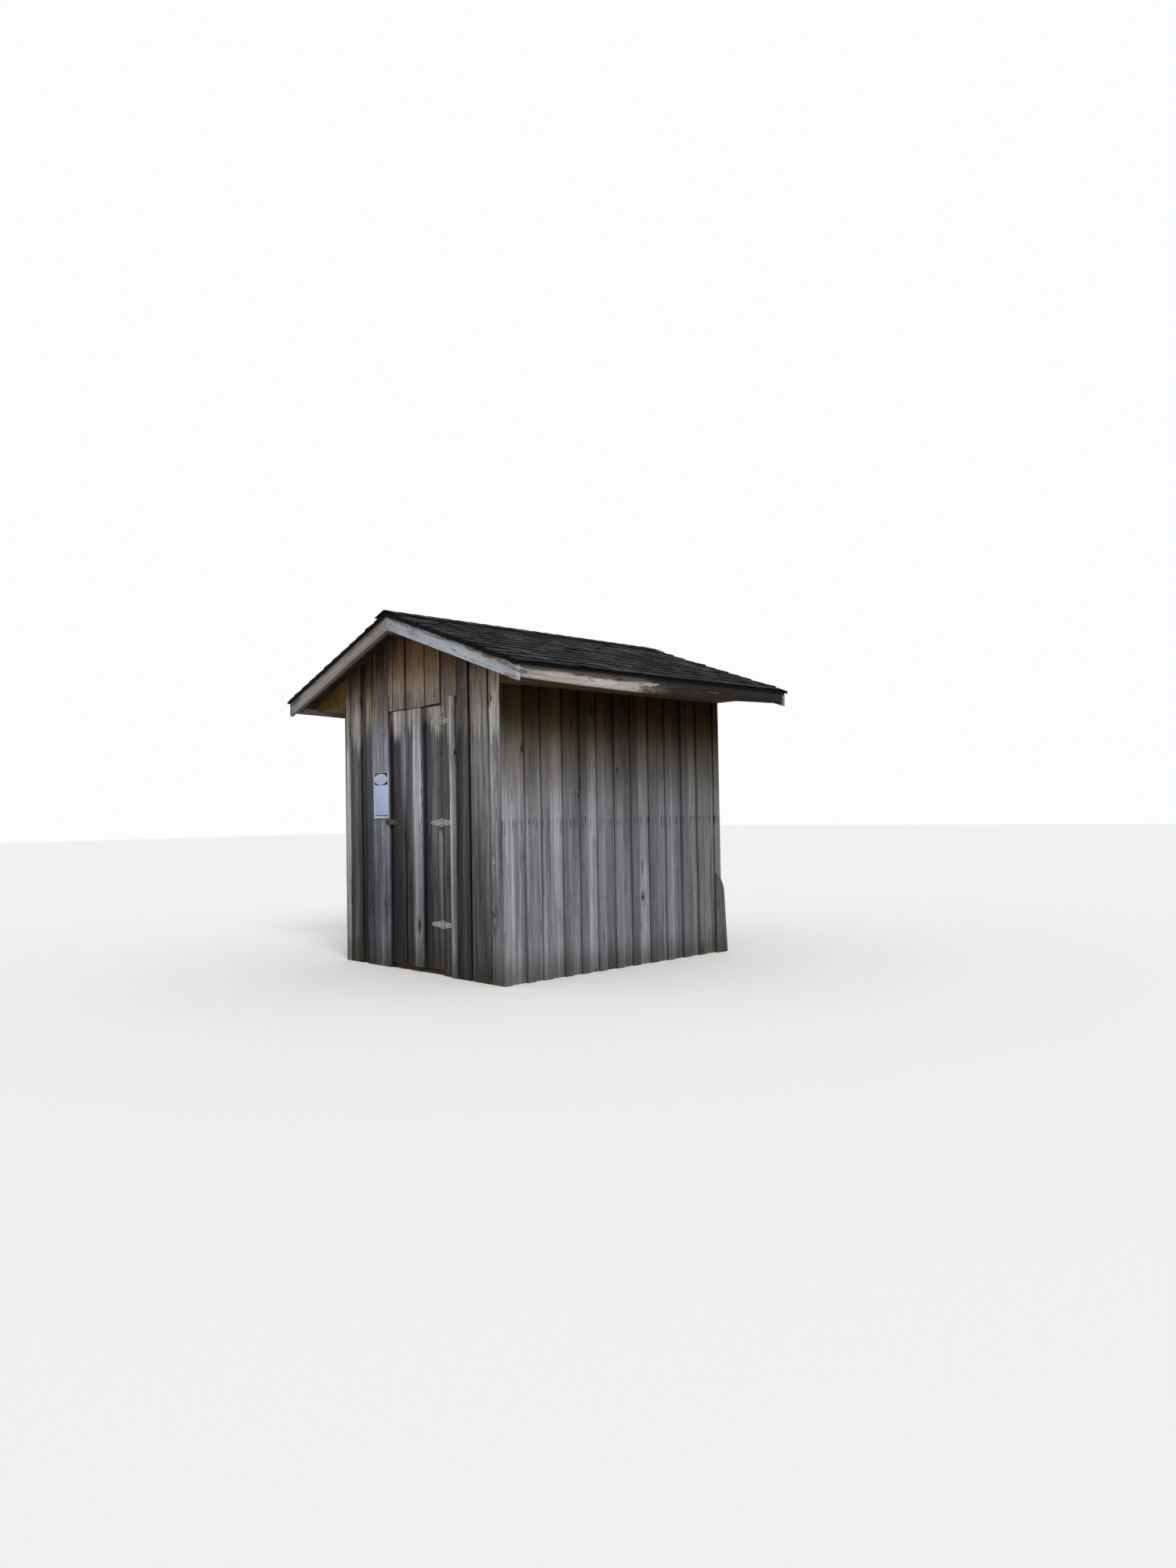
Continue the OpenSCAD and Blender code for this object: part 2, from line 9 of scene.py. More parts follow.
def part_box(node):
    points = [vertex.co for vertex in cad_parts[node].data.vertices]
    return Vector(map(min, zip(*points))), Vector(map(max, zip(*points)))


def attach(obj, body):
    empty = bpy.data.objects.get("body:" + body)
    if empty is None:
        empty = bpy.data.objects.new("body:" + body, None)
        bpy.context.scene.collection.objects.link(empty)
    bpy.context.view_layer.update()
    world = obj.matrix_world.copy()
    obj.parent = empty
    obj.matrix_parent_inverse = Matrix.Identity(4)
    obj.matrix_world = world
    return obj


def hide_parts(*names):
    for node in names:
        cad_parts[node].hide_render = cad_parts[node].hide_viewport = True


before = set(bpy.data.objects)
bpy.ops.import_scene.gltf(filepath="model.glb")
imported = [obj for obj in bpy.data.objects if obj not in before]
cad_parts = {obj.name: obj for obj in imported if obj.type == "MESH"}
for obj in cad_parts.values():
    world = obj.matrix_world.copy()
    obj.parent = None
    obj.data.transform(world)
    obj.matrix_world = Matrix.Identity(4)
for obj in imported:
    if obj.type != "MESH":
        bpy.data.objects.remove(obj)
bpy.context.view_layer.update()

# Directions in the frame
LEFT, RIGHT = Vector((-1, 0, 0)), Vector((1, 0, 0))
FRONT, BACK = Vector((0, -1, 0)), Vector((0, 1, 0))
UP = Vector((0, 0, 1))
AXES = (RIGHT, BACK, UP)

# Roof, in metres: the rake boards give its ridge and eaves, and the fall is that of each metre across
ROOF_PITCH = math.radians(19.42)
ROOF_FALL = math.tan(ROOF_PITCH)
RAKE_LOW, RAKE_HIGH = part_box("rake_front_right")
RIDGE_Z = RAKE_HIGH.z
HALF_SPAN = RAKE_HIGH.x
ROOF_FRONT = RAKE_LOW.y
ROOF_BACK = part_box("rake_back_right")[1].y
DECK_T = 0.020
ROOF_LIP = 0.012
LAY_GAP = 0.0001

# Boards
CHAMFER = 0.0016
LOOP_STEP = 0.085
TRIM_STEP = 0.07
PATCH_STEP = 0.02
GIRT_Z = sum(corner.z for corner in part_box("wall_girts")) / 2
SIDE_GIRT_Z = 1.165
PLATE_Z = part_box("side_plates")[0].z + 0.02
HEAD_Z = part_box("front_boards_over_door")[0].z
FOOT_NAILS_Z = 0.1
PATCH_SHOULDER_W = 0.100
PATCH_ROUND = 0.217
FASCIA_BELLY = 0.028
FASCIA_HIDDEN_TOP = 0.032

# Shingles: the tail of each course lies under the next one's butts
EXPOSURE = 0.137
TAB_LENGTH = EXPOSURE + 0.05
TAB_W = 0.305
TAB_T = 0.0045
HALF_SLOT = 0.004
BUTT_RISE = 0.014
TAIL_RISE = 0.006
NARROWEST_TAB = 0.03
FELT_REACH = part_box("shingles_right")[1].x

# Hardware
HINGE_ZS = (0.388, 1.165, 1.942)
LEAF_T = 0.003
SINK = 0.0001
HINGE_SCREW_R = 0.0052
SIGN_SCREW_R = 0.0034

# Sign
SIGN_RIM = 0.005
SIGN_PLAY = 0.001
SIGN_SUNK = 0.0022
SIGN_HEADER = 0.105
SIGN_FOOT = 0.024
SIGN_RECESS = 0.0034
SIGN_OVAL_RISE = 0.047
SIGN_ARRIS = 0.0006

# Meshes: points this near are one, and edges this sharp show as an arris
TOUCH = 1e-5
ARRIS_ANGLE = math.radians(28)


def screen(red, green, blue):
    """Linear colour of an 8-bit screen colour."""
    return tuple(((c / 255 + 0.055) / 1.055) ** 2.4 for c in (red, green, blue)) + (1.0,)


def by_height(*stops):
    """Heights, each with the colour given to the wood there, painted shade included."""
    return [(z, screen(*tone)) for z, *tone in stops]


# Weathered tones of wood, some darkened with painted shade
SILVER = screen(144, 145, 148)
STRIP_GREY = screen(134, 134, 137)
PALE_ASH = screen(120, 119, 119)
ASH = screen(104, 103, 101)
# A dark grey for streaks high on the side walls, which add to the painted shade under the eave.
DARK_STREAK_GREY = screen(54, 51, 52)
CREAM = screen(158, 148, 137)
DRY_BROWN = screen(112, 95, 76)
KNOT_BROWN = screen(36, 26, 19)
DIRT_AND_SHADE = screen(24, 20, 19)
DAMP = screen(46, 44, 37)
PLAIN = [(0.0, ASH), (RIDGE_Z, ASH)]
# Tones up the front gable and up the side walls: weathered brown wood, darker towards the top with painted
# shade of the overhang.
UNDER_GABLE_TONE_AND_SHADE = by_height(
    (0.0, 127, 126, 125), (1.86, 134, 133, 132), (1.95, 140, 136, 132), (2.05, 147, 141, 135),
    (2.16, 148, 137, 128), (2.25, 133, 119, 106), (2.37, 106, 88, 68), (2.52, 88, 69, 49),
    (RIDGE_Z, 82, 62, 44))
UNDER_EAVE_TONE_AND_SHADE = by_height(
    (0.0, 110, 111, 115), (1.2, 106, 107, 110), (1.35, 96, 96, 98), (1.5, 82, 80, 80), (1.7, 74, 71, 64),
    (1.87, 63, 55, 40), (2.0, 46, 34, 18), (RIDGE_Z, 36, 22, 9))

# A height above the roof, for tones that never turn
NEVER = 3.0

# Tones of the frame, the floor and the trim
STUD_TONE, FLOOR_TONE = screen(118, 99, 78), screen(108, 94, 78)
DECK_TONE, JOIST_TONE = screen(62, 51, 40), screen(80, 71, 60)
# The right soffit is the same wood as the left, darker with painted shade.
SOFFIT_TONES_WITH_SHADE = {"left": screen(128, 102, 62), "right": screen(90, 73, 50)}
COOL_WHITE, DULL_WHITE, WARM_WHITE = screen(180, 186, 195), screen(144, 142, 139), screen(184, 174, 170)


class Nodes:
    """Short calls for the nodes of a material or of the world."""

    def __init__(self, owner):
        owner.use_nodes = True
        self.tree = owner.node_tree

    def put(self, socket, value):
        if isinstance(value, bpy.types.NodeSocket):
            self.tree.links.new(value, socket)
        else:
            socket.default_value = value

    def node(self, kind, inputs=None, **settings):
        made = self.tree.nodes.new("ShaderNode" + kind)
        for name, value in settings.items():
            setattr(made, name, value)
        for name, value in (inputs or {}).items():
            self.put(made.inputs[name], value)
        return made

    def math(self, operation, a, b=0.0):
        return self.node("Math", {0: a, 1: b}, operation=operation).outputs[0]


class Finish(Nodes):
    """A material under construction."""

    def __init__(self, name):
        self.material = bpy.data.materials.new(name)
        super().__init__(self.material)
        self.shader = self.tree.nodes["Principled BSDF"]

    def place(self):
        return self.node("TexCoord").outputs["Object"]

    def attribute(self, name, output="Vector"):
        return self.node("Attribute", attribute_name=name).outputs[output]

    def plus(self, a, b):
        return self.math("ADD", a, b)

    def minus(self, a, b):
        return self.math("SUBTRACT", a, b)

    def over(self, a, b):
        return self.math("DIVIDE", a, b)

    def times(self, product, *factors):
        for factor in factors:
            product = self.math("MULTIPLY", product, factor)
        return product

    def vector(self, operation, a, b):
        return self.node("VectorMath", {0: a, 1: b}, operation=operation).outputs[0]

    def split(self, vector):
        return self.node("SeparateXYZ", {0: vector}).outputs[:3]

    def ramp(self, value, start, end, low=0.0, high=1.0):
        inputs = {"Value": value, "From Min": start, "From Max": end, "To Min": low, "To Max": high}
        return self.node("MapRange", inputs, interpolation_type="SMOOTHSTEP").outputs[0]

    def noise(self, vector, scale, detail=3.0, roughness=0.55, distortion=0.0):
        """Noise with one scale, or with a scale for each axis."""
        if isinstance(scale, tuple):
            vector, scale = self.vector("MULTIPLY", vector, scale), 1.0
        inputs = {"Vector": vector, "Scale": scale, "Detail": detail, "Roughness": roughness,
                  "Distortion": distortion}
        return self.node("TexNoise", inputs).outputs[0]

    def mix(self, factor, a, b):
        return self.node("Mix", {0: factor, 6: a, 7: b}, data_type="RGBA").outputs[2]

    def scaled(self, colour, value):
        if isinstance(colour, tuple):
            colour = colour[:3]
        return self.node("VectorMath", {0: colour, "Scale": value}, operation="SCALE").outputs[0]

    def shades(self, factor, stops):
        """A colour that goes through (position, colour) stops."""
        made = self.node("ValToRGB", {"Fac": factor})
        elements = made.color_ramp.elements
        elements[0].position, elements[0].color = stops[0]
        elements[-1].position, elements[-1].color = stops[-1]
        for position, colour in stops[1:-1]:
            elements.new(position).color = colour
        return made.outputs["Color"]

    def bump(self, height, distance, strength=1.0):
        inputs = {"Height": height, "Distance": distance, "Strength": strength}
        self.put(self.shader.inputs["Normal"], self.node("Bump", inputs).outputs[0])

    def finish(self, colour, roughness, metallic=0.0, specular=0.5):
        inputs = {"Base Color": colour, "Roughness": roughness, "Metallic": metallic,
                  "Specular IOR Level": specular}
        for name, value in inputs.items():
            self.put(self.shader.inputs[name], value)
        return self.material


class OldWood(Finish):
    """Old rough-sawn wood, which follows the marks that each board carries."""

    def __init__(self, name, knots):
        super().__init__(name)
        self.height = self.split(self.place())[2]
        self.grain = self.attribute("grain_at")
        self.depth = self.attribute("depth", "Fac")
        self.from_left, self.from_right, self.from_foot = self.split(self.attribute("edges"))
        self.left_share, self.right_share, self.kept = self.split(self.attribute("flanks"))
        self.strip_w, self.strip_low, self.strip_high = self.split(self.attribute("strip"))
        self.bend_round_knots(knots)
        self.broad = self.fibres(7.0, 0.5, 2.0)
        self.streaks = self.fibres(30.0, 0.6, 4.0, 0.62)
        self.fine = self.fibres(170.0, 5.0, 3.0)

    def bend_round_knots(self, knots):
        """Scattered knots, in a share of the cells of a grid, and grain that bends round them."""
        per_m = (5.0, 0.0, 1.6)
        cell_place = self.vector("MULTIPLY", self.grain, per_m)
        cells = self.node("TexVoronoi", {"Vector": cell_place, "Scale": 1.0})
        away = self.vector("SUBTRACT", cell_place, cells.outputs["Position"])
        away = self.vector("MULTIPLY", away, (1 / per_m[0], 0.0, 0.55 / per_m[2]))
        distance = self.node("VectorMath", {0: away}, operation="LENGTH").outputs["Value"]
        has_knot = self.math("GREATER_THAN", self.split(cells.outputs["Color"])[0], 1 - knots)
        bend = self.times(self.ramp(distance, 0.0, 0.09, 0.97, 0.0), has_knot)
        sideways = self.scaled(self.vector("MULTIPLY", away, (1.0, 0.0, 0.0)), bend)
        self.bent = self.vector("SUBTRACT", self.grain, sideways)
        self.knot = self.times(self.ramp(distance, 0.006, 0.014, 1.0, 0.0), has_knot)
        self.round_knot = self.times(self.ramp(distance, 0.014, 0.06, 1.0, 0.0), has_knot)

    def fibres(self, per_m_across, per_m_along, detail, roughness=0.6):
        return self.noise(self.bent, (per_m_across, per_m_across, per_m_along), detail, roughness)

    def set_turn(self, turn, softness, stray):
        """The share of the sheltered tones, brown wood with painted shade, which begin above the height of
        turn in ragged streaks.
        """
        self.shift = self.times(self.minus(self.plus(self.streaks, self.broad), 1.0), stray)
        self.strayed = self.plus(self.height, self.shift)
        self.above = self.ramp(self.minus(self.strayed, turn), -softness, softness)

    def set_cracks(self, cracks):
        """Cracks lie where a noise passes its middle value, and its slope over 1 mm keeps them narrow."""
        per_m, one_mm = (55.0, 55.0, 1.1), (0.001, 0.0, 0.0)
        here = self.noise(self.bent, per_m, 2.0, 0.5)
        beside = self.noise(self.vector("ADD", self.bent, one_mm), per_m, 2.0, 0.5)
        slope = self.math("MAXIMUM", self.math("ABSOLUTE", self.minus(beside, here)), 0.006)
        away_mm = self.over(self.math("ABSOLUTE", self.minus(here, 0.5)), slope)
        often = self.plus(self.fibres(22.0, 4.5, 1.0), self.times(self.above, 0.05 * cracks))
        where = self.ramp(often, 0.64 - 0.12 * cracks, 0.7 - 0.12 * cracks)
        self.crack = self.times(self.ramp(away_mm, 0.6, 1.6, 1.0, 0.0), where)

    def set_shade(self, streak, foot_share, saw):
        """Light and dark along the fibres, towards the foot, in oblique saw marks and round the knots."""
        x, y, z = self.split(self.bent)
        oblique = self.plus(z, self.times(x, 0.28))
        saw_place = self.node("CombineXYZ", {"X": x, "Y": y, "Z": oblique}).outputs[0]
        self.saw_marks = self.noise(saw_place, (14.0, 14.0, 210.0), 3.0, 0.6, 0.6)
        sawn = self.ramp(self.noise(self.grain, (6.0, 6.0, 2.4), 2.0), 0.42, 0.6, 0.15, 1.0)
        saw_shade = self.times(self.ramp(self.saw_marks, 0.32, 0.68, -saw, saw), sawn)
        knotty = self.times(self.round_knot, self.ramp(self.fine, 0.42, 0.5, 0.6, 0.0))
        self.shade = self.times(
            self.ramp(self.streaks, 0.34, 0.66, 1 - 0.8 * streak, 1 + streak),
            self.ramp(self.fine, 0.32, 0.68, 1 - 0.65 * streak, 1 + 0.65 * streak),
            self.ramp(self.broad, 0.36, 0.64, 1 - 0.6 * streak, 1 + 0.7 * streak),
            self.ramp(self.height, 0.5, 1.5, foot_share, 1.0),
            self.plus(saw_shade, 1.0), self.minus(1.0, knotty))

    def flanks(self):
        """Painted light and shade across the board: the share of the tone that is left towards each edge,
        which is milder in the sheltered part.
        """
        across = self.over(self.from_left, self.plus(self.from_left, self.from_right))
        across = self.plus(across, self.times(self.minus(self.streaks, 0.5), 0.35))
        left = self.ramp(across, 0.18, 0.55, self.left_share, 1.0)
        right = self.ramp(across, 0.5, 0.85, 1.0, self.right_share)
        milder = self.ramp(self.above, 0.0, 1.0, 1.0, 0.4)
        return self.plus(self.times(self.minus(self.times(left, right), 1.0), milder), 1.0)

    def bleach(self, colour, pale, pale_below, pale_above, arris, edge_shade):
        """Pale fibres, a rubbed right-hand arris over a side face darkened with painted shade, and the pale
        strip of some boards.
        """
        arris_w = 0.008
        pale_colour = self.mix(self.above, pale_below, pale_above)
        bleached = self.times(self.ramp(self.fibres(21.0, 0.5, 3.0), 0.52, 0.66), pale)
        colour = self.mix(bleached, colour, pale_colour)
        ragged = self.times(self.minus(self.streaks, 0.5), 1.6)
        ragged_right = self.plus(self.from_right, self.times(ragged, arris_w))
        rubbed = self.ramp(ragged_right, 0.35 * arris_w, arris_w, arris, 0.0)
        on_face = self.ramp(self.from_right, 0.0002, 0.0014)
        colour = self.mix(self.times(rubbed, on_face), colour, pale_colour)
        # Painted shade darkens the board's right-hand side face.
        colour = self.scaled(colour, self.ramp(on_face, 0.0, 1.0, 1 - 0.75 * edge_shade, 1.0))
        inside = self.minus(self.times(self.strip_w, self.minus(1.0, ragged)), self.from_right)
        inside = self.times(self.ramp(inside, 0.0, 0.016),
                            self.ramp(self.minus(self.strip_high, self.height), 0.0, 0.05),
                            self.ramp(self.minus(self.strayed, self.strip_low), -0.3, 0.3, 0.0, 0.9))
        return self.mix(inside, colour, self.scaled(STRIP_GREY, self.shade))

    def stain(self, colour, row_z, length, scatter):
        """Dark runs below a row of nails."""
        columns = self.noise(self.grain, (70.0, 0.0, 0.0), 1.0)
        lengths = self.noise(self.grain, (23.0, 0.0, 0.0), 0.0)
        scattered = self.times(self.minus(self.noise(self.grain, (47.0, 0.0, 0.0), 0.0), 0.5), 2 * scatter)
        drop = self.over(self.minus(self.plus(scattered, row_z), self.height), length)
        drop = self.over(drop, self.ramp(lengths, 0.3, 0.7, 0.4, 1.4))
        run = self.times(self.math("GREATER_THAN", drop, 0.0), self.ramp(drop, 0.5, 1.0, 1.0, 0.0),
                         self.ramp(columns, 0.53, 0.6), 0.75)
        return self.mix(run, colour, DIRT_AND_SHADE)

    def soil(self, colour, edge_shade, inner_face):
        """Damp at the foot, painted shade along left-hand edges, and dirt in joints, cracks and knots."""
        damp = self.ramp(self.plus(self.from_foot, self.times(self.shift, 0.4)), 0.02, 0.28, 0.55, 0.0)
        # Painted shade along the left-hand edge and side face: the dark shadow line beside each batten.
        edge = self.ramp(self.from_left, 0.0004, 0.0045, edge_shade, 0.0)
        joint = self.times(self.ramp(self.depth, 0.7, 0.9, 0.0, 0.85), self.minus(1.0, inner_face))
        crack, knot = self.times(self.crack, 0.9), self.times(self.knot, 0.8)
        for share, tone in ((damp, DAMP), (edge, DIRT_AND_SHADE), (joint, DIRT_AND_SHADE), (crack, DIRT_AND_SHADE), (knot, KNOT_BROWN)):
            colour = self.mix(share, colour, tone)
        return colour

    def wood_colour(self, lower, turn, sheltered=PLAIN, softness=0.16, stray=0.6, streak=0.2, pale=0.0,
                    pale_below=SILVER, pale_above=SILVER, arris=0.0, cracks=0.5, foot_share=1.0,
                    edge_shade=0.8, saw=0.08, stains=None):
        """Colour with all its weathering, and its painted light and shade. Stains are a row's height, their
        length and their scatter.
        """
        self.set_turn(turn, softness, stray)
        self.set_cracks(cracks)
        self.set_shade(streak, foot_share, saw)
        stops = [(z / RIDGE_Z, tone) for z, tone in sheltered]
        upper = self.scaled(self.shades(self.over(self.strayed, RIDGE_Z), stops), self.kept)
        colour = self.mix(self.above, lower, upper)
        colour = self.scaled(colour, self.times(self.shade, self.flanks()))
        colour = self.bleach(colour, pale, pale_below, pale_above, arris, edge_shade)
        inner_face = self.ramp(self.depth, 0.94, 0.99)
        colour = self.mix(inner_face, colour, self.scaled(DRY_BROWN, self.shade))
        if stains:
            colour = self.stain(colour, *stains)
        return self.soil(colour, edge_shade, inner_face)

    def relief(self):
        ridges = self.plus(self.times(self.fine, 0.45), self.times(self.streaks, 0.6))
        ridges = self.plus(ridges, self.times(self.saw_marks, 0.2))
        return self.minus(ridges, self.times(self.crack, 1.4))


def weathered_wood(name, knots=0.15, **details):
    """Bare wood: the look's colour is a board's weathered tone, darkened with painted shade on recessed
    boards, and its alpha the height of its turn.
    """
    f = OldWood(name, knots)
    turn = f.times(f.attribute("look", "Alpha"), NEVER)
    colour = f.wood_colour(f.attribute("look", "Color"), turn, **details)
    f.bump(f.relief(), 0.0018)
    return f.finish(colour, f.ramp(f.streaks, 0.25, 0.75, 0.95, 0.8), specular=0.08)


def worn_paint(name, bare):
    """Old paint that has worn through to the wood: the look's colour is the paint, its alpha the wear."""
    f = OldWood(name, knots=0.04)
    wood = f.wood_colour(f.scaled(bare, f.kept), NEVER, streak=0.4, cracks=-0.2)
    scratches = f.noise(f.grain, (60.0, 60.0, 3.0), 4.0, 0.65)
    wood = f.mix(f.ramp(scratches, 0.58, 0.68, 0.0, 0.55), wood, screen(104, 97, 90))
    patches = f.noise(f.grain, (26.0, 26.0, 4.5), 5.0, 0.68)
    chips = f.noise(f.grain, (110.0, 110.0, 20.0), 3.0, 0.6)
    cover = f.plus(f.times(patches, 0.7), f.times(chips, 0.3))
    wear = f.times(f.attribute("look", "Alpha"), 0.5)
    painted = f.ramp(f.minus(cover, wear), 0.16, 0.26)
    grime = f.noise(f.grain, (9.0, 9.0, 3.0), 5.0, 0.65)
    coat = f.mix(f.ramp(grime, 0.4, 0.68, 0.0, 0.45), f.attribute("look", "Color"), screen(122, 114, 106))
    coat = f.scaled(coat, f.ramp(f.streaks, 0.34, 0.66, 0.78, 1.12))
    coat = f.mix(f.times(f.crack, 0.7), coat, screen(60, 54, 50))
    # Painted shadow of the roof's edge, in ragged scallops along the top of the board.
    ragged_top = f.plus(f.from_left, f.times(f.minus(patches, 0.5), 0.05))
    painted_roof_shadow = f.ramp(ragged_top, 0.002, 0.018, 0.85, 0.0)
    colour = f.mix(painted_roof_shadow, f.mix(painted, wood, coat), screen(34, 30, 29))
    f.bump(f.plus(f.times(f.relief(), 0.5), f.times(painted, 0.8)), 0.0009)
    return f.finish(colour, f.ramp(painted, 0.0, 1.0, 0.9, 0.6), specular=0.25)


def mineral_felt(name):
    """Asphalt shingles with worn granules. The look holds a tab's tone, the way up it, and its edge, darkened
    both as bare asphalt and with painted shadow.
    """
    f = Finish(name)
    place = f.place()
    tone, way_up, edge = f.node("SeparateColor", {0: f.attribute("look", "Color")}).outputs[:3]
    granules = f.split(f.node("TexVoronoi", {"Vector": place, "Scale": 420.0}).outputs["Color"])[0]
    patches = f.noise(place, 5.0, 5.0, 0.62)
    worn = f.noise(place, (30.0, 14.0, 30.0), 4.0, 0.65)
    # Each tab grows darker just below the butt of the course above, with painted shade and dirt, and darker
    # at its edge with painted shadow and bare asphalt.
    shade = f.times(f.plus(f.times(tone, 1.1), 0.1),
                    f.ramp(granules, 0.0, 1.0, 0.6, 1.4), f.ramp(patches, 0.38, 0.62, 0.5, 1.6),
                    f.ramp(way_up, 0.5, 0.72, 1.0, 0.45), f.ramp(edge, 0.0, 1.0, 1.0, 0.14))
    dusty = f.mix(f.ramp(worn, 0.42, 0.88), screen(37, 39, 43), screen(96, 92, 91))
    f.bump(f.plus(f.times(granules, 0.6), f.times(worn, 0.8)), 0.0012)
    return f.finish(f.scaled(dusty, shade), 0.92, specular=0.1)


def dull_steel(name, clean, rust_share):
    """Galvanised steel gone dull, with rust where the zinc has gone."""
    f = Finish(name)
    place = f.place()
    blotches = f.noise(place, 70.0, 5.0, 0.6)
    pits = f.noise(place, 420.0, 3.0, 0.6)
    mixed = f.plus(f.times(blotches, 0.8), f.times(pits, 0.2))
    rusty = f.ramp(mixed, 0.68 - rust_share, 0.74 - rust_share)
    zinc = f.scaled(clean, f.ramp(f.noise(place, 190.0, 4.0, 0.6), 0.3, 0.7, 0.72, 1.2))
    colour = f.mix(rusty, zinc, f.mix(pits, screen(70, 42, 26), screen(112, 68, 40)))
    f.bump(f.plus(f.times(rusty, 0.6), f.times(pits, 0.5)), 0.0004)
    return f.finish(colour, f.ramp(rusty, 0.0, 1.0, 0.5, 0.92), f.ramp(rusty, 0.0, 1.0, 0.35, 0.0))


def enamel(name, colour, dirt):
    """Baked enamel with dust, and stains that run down it."""
    f = Finish(name)
    place = f.place()
    runs = f.noise(place, (120.0, 120.0, 9.0), 4.0, 0.6)
    dust = f.noise(place, 60.0, 5.0, 0.6)
    soiled = f.times(f.ramp(runs, 0.45, 0.75), f.ramp(dust, 0.35, 0.7), 0.5)
    f.bump(dust, 0.0002, 0.6)
    return f.finish(f.mix(soiled, colour, dirt), f.ramp(dust, 0.3, 0.7, 0.28, 0.5), specular=0.15)


# Wall settings: weathering, with painted shade in the sheltered tones and along the board edges.
FRONT_WEAR_AND_SHADE = dict(sheltered=UNDER_GABLE_TONE_AND_SHADE, softness=0.1, foot_share=0.55)
SIDE_WEAR_AND_SHADE = dict(sheltered=UNDER_EAVE_TONE_AND_SHADE, softness=0.4, stray=0.3, pale_above=DARK_STREAK_GREY, cracks=-0.2, knots=0.28,
                 saw=0.12, stains=(SIDE_GIRT_Z + 0.015, 0.1, 0.035))
WOOD_DETAILS = {
    "front_wall_wood": dict(FRONT_WEAR_AND_SHADE, streak=0.4, stains=(HEAD_Z + 0.12, 0.3, 0.14)),
    "front_batten_wood": dict(FRONT_WEAR_AND_SHADE, streak=0.42, pale=0.25, pale_below=PALE_ASH, pale_above=CREAM,
                              arris=0.45, stains=(HEAD_Z + 0.13, 0.22, 0.16)),
    "door_wood": dict(sheltered=UNDER_GABLE_TONE_AND_SHADE, softness=0.06, stray=0.45, streak=0.38, pale=0.08,
                      pale_below=ASH, pale_above=CREAM, arris=0.5, foot_share=0.5),
    "side_wall_wood": dict(SIDE_WEAR_AND_SHADE, streak=0.34, pale=0.08, edge_shade=0.0),
    "side_batten_wood": dict(SIDE_WEAR_AND_SHADE, streak=0.3, pale=0.1, edge_shade=0.1),
    "roof_underside": dict(streak=0.3),
    "frame_wood": dict(streak=0.25),
    "floor_wood": dict(streak=0.25),
}
WOODS = {name: weathered_wood(name, **details) for name, details in WOOD_DETAILS.items()}
PAINT = worn_paint("painted_trim", screen(98, 88, 79))
SHINGLE = mineral_felt("asphalt_shingle")
HINGE_STEEL = dull_steel("hinge_steel", screen(146, 148, 144), 0.03)
HASP_STEEL = dull_steel("hasp_steel", screen(44, 42, 42), 0.12)
NAIL_STEEL = dull_steel("nail_steel", screen(58, 52, 49), 0.08)
SCREW_STEEL = dull_steel("screw_steel", screen(50, 46, 43), 0.1)
ENAMEL = enamel("sign_enamel", screen(172, 188, 222), screen(112, 116, 124))
RIM_ENAMEL = enamel("sign_rim_enamel", screen(192, 200, 212), screen(120, 122, 126))
BLACK_ENAMEL = enamel("sign_black_enamel", screen(13, 14, 18), screen(40, 40, 44))


def block(size, centre=(0, 0, 0)):
    """A plain block, for further shaping."""
    bm = bmesh.new()
    bmesh.ops.create_cube(bm, size=1.0)
    bmesh.ops.scale(bm, vec=size, verts=bm.verts)
    bmesh.ops.translate(bm, vec=centre, verts=bm.verts)
    return bm


def move(bm, matrix):
    bmesh.ops.transform(bm, matrix=matrix, verts=bm.verts)


def edges_along(bm, axis):
    """Edges that run along one of the three axes."""
    runs = ((edge, edge.verts[0].co - edge.verts[1].co) for edge in bm.edges)
    return [edge for edge, run in runs if abs(run[axis]) > 0.99 * run.length]


def everything(bm):
    return bm.verts[:] + bm.edges[:] + bm.faces[:]


def bevel(bm, edges, offset, segments=1):
    bmesh.ops.bevel(bm, geom=edges, offset=offset, offset_type="OFFSET", segments=segments, profile=0.5,
                    affect="EDGES", material=-1)


def score(bm, axis, *places):
    """Cuts edge loops at places along one axis."""
    for place in places:
        bmesh.ops.bisect_plane(bm, geom=everything(bm), plane_co=place * AXES[axis], plane_no=AXES[axis])


def divide(bm, axis, cuts):
    """Divides the edges along one axis evenly."""
    bmesh.ops.subdivide_edges(bm, edges=edges_along(bm, axis), cuts=cuts, use_grid_fill=True)


def cut_plane(bm, point, normal):
    """Cuts away what lies on a plane's far side, and closes the cut."""
    cut = bmesh.ops.bisect_plane(bm, geom=everything(bm), plane_co=point, plane_no=normal, clear_outer=True)
    edges = [part for part in cut["geom_cut"] if isinstance(part, bmesh.types.BMEdge)]
    if edges:
        bmesh.ops.holes_fill(bm, edges=edges, sides=0)


def cut_under_roof(bm):
    for side in (-1, 1):
        cut_plane(bm, (0, 0, RIDGE_Z), (side * math.sin(ROOF_PITCH), 0, math.cos(ROOF_PITCH)))


def cad_copy(node):
    """A copy of a CAD node's mesh, with its triangles joined."""
    bm = bmesh.new()
    bm.from_mesh(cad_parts[node].data)
    bmesh.ops.remove_doubles(bm, verts=bm.verts, dist=TOUCH)
    return bm


def flat_faced_copy(node):
    """A copy of a CAD node's mesh, with one face for each flat side."""
    bm = cad_copy(node)
    bmesh.ops.dissolve_limit(bm, angle_limit=math.radians(1), verts=bm.verts, edges=bm.edges)
    return bm


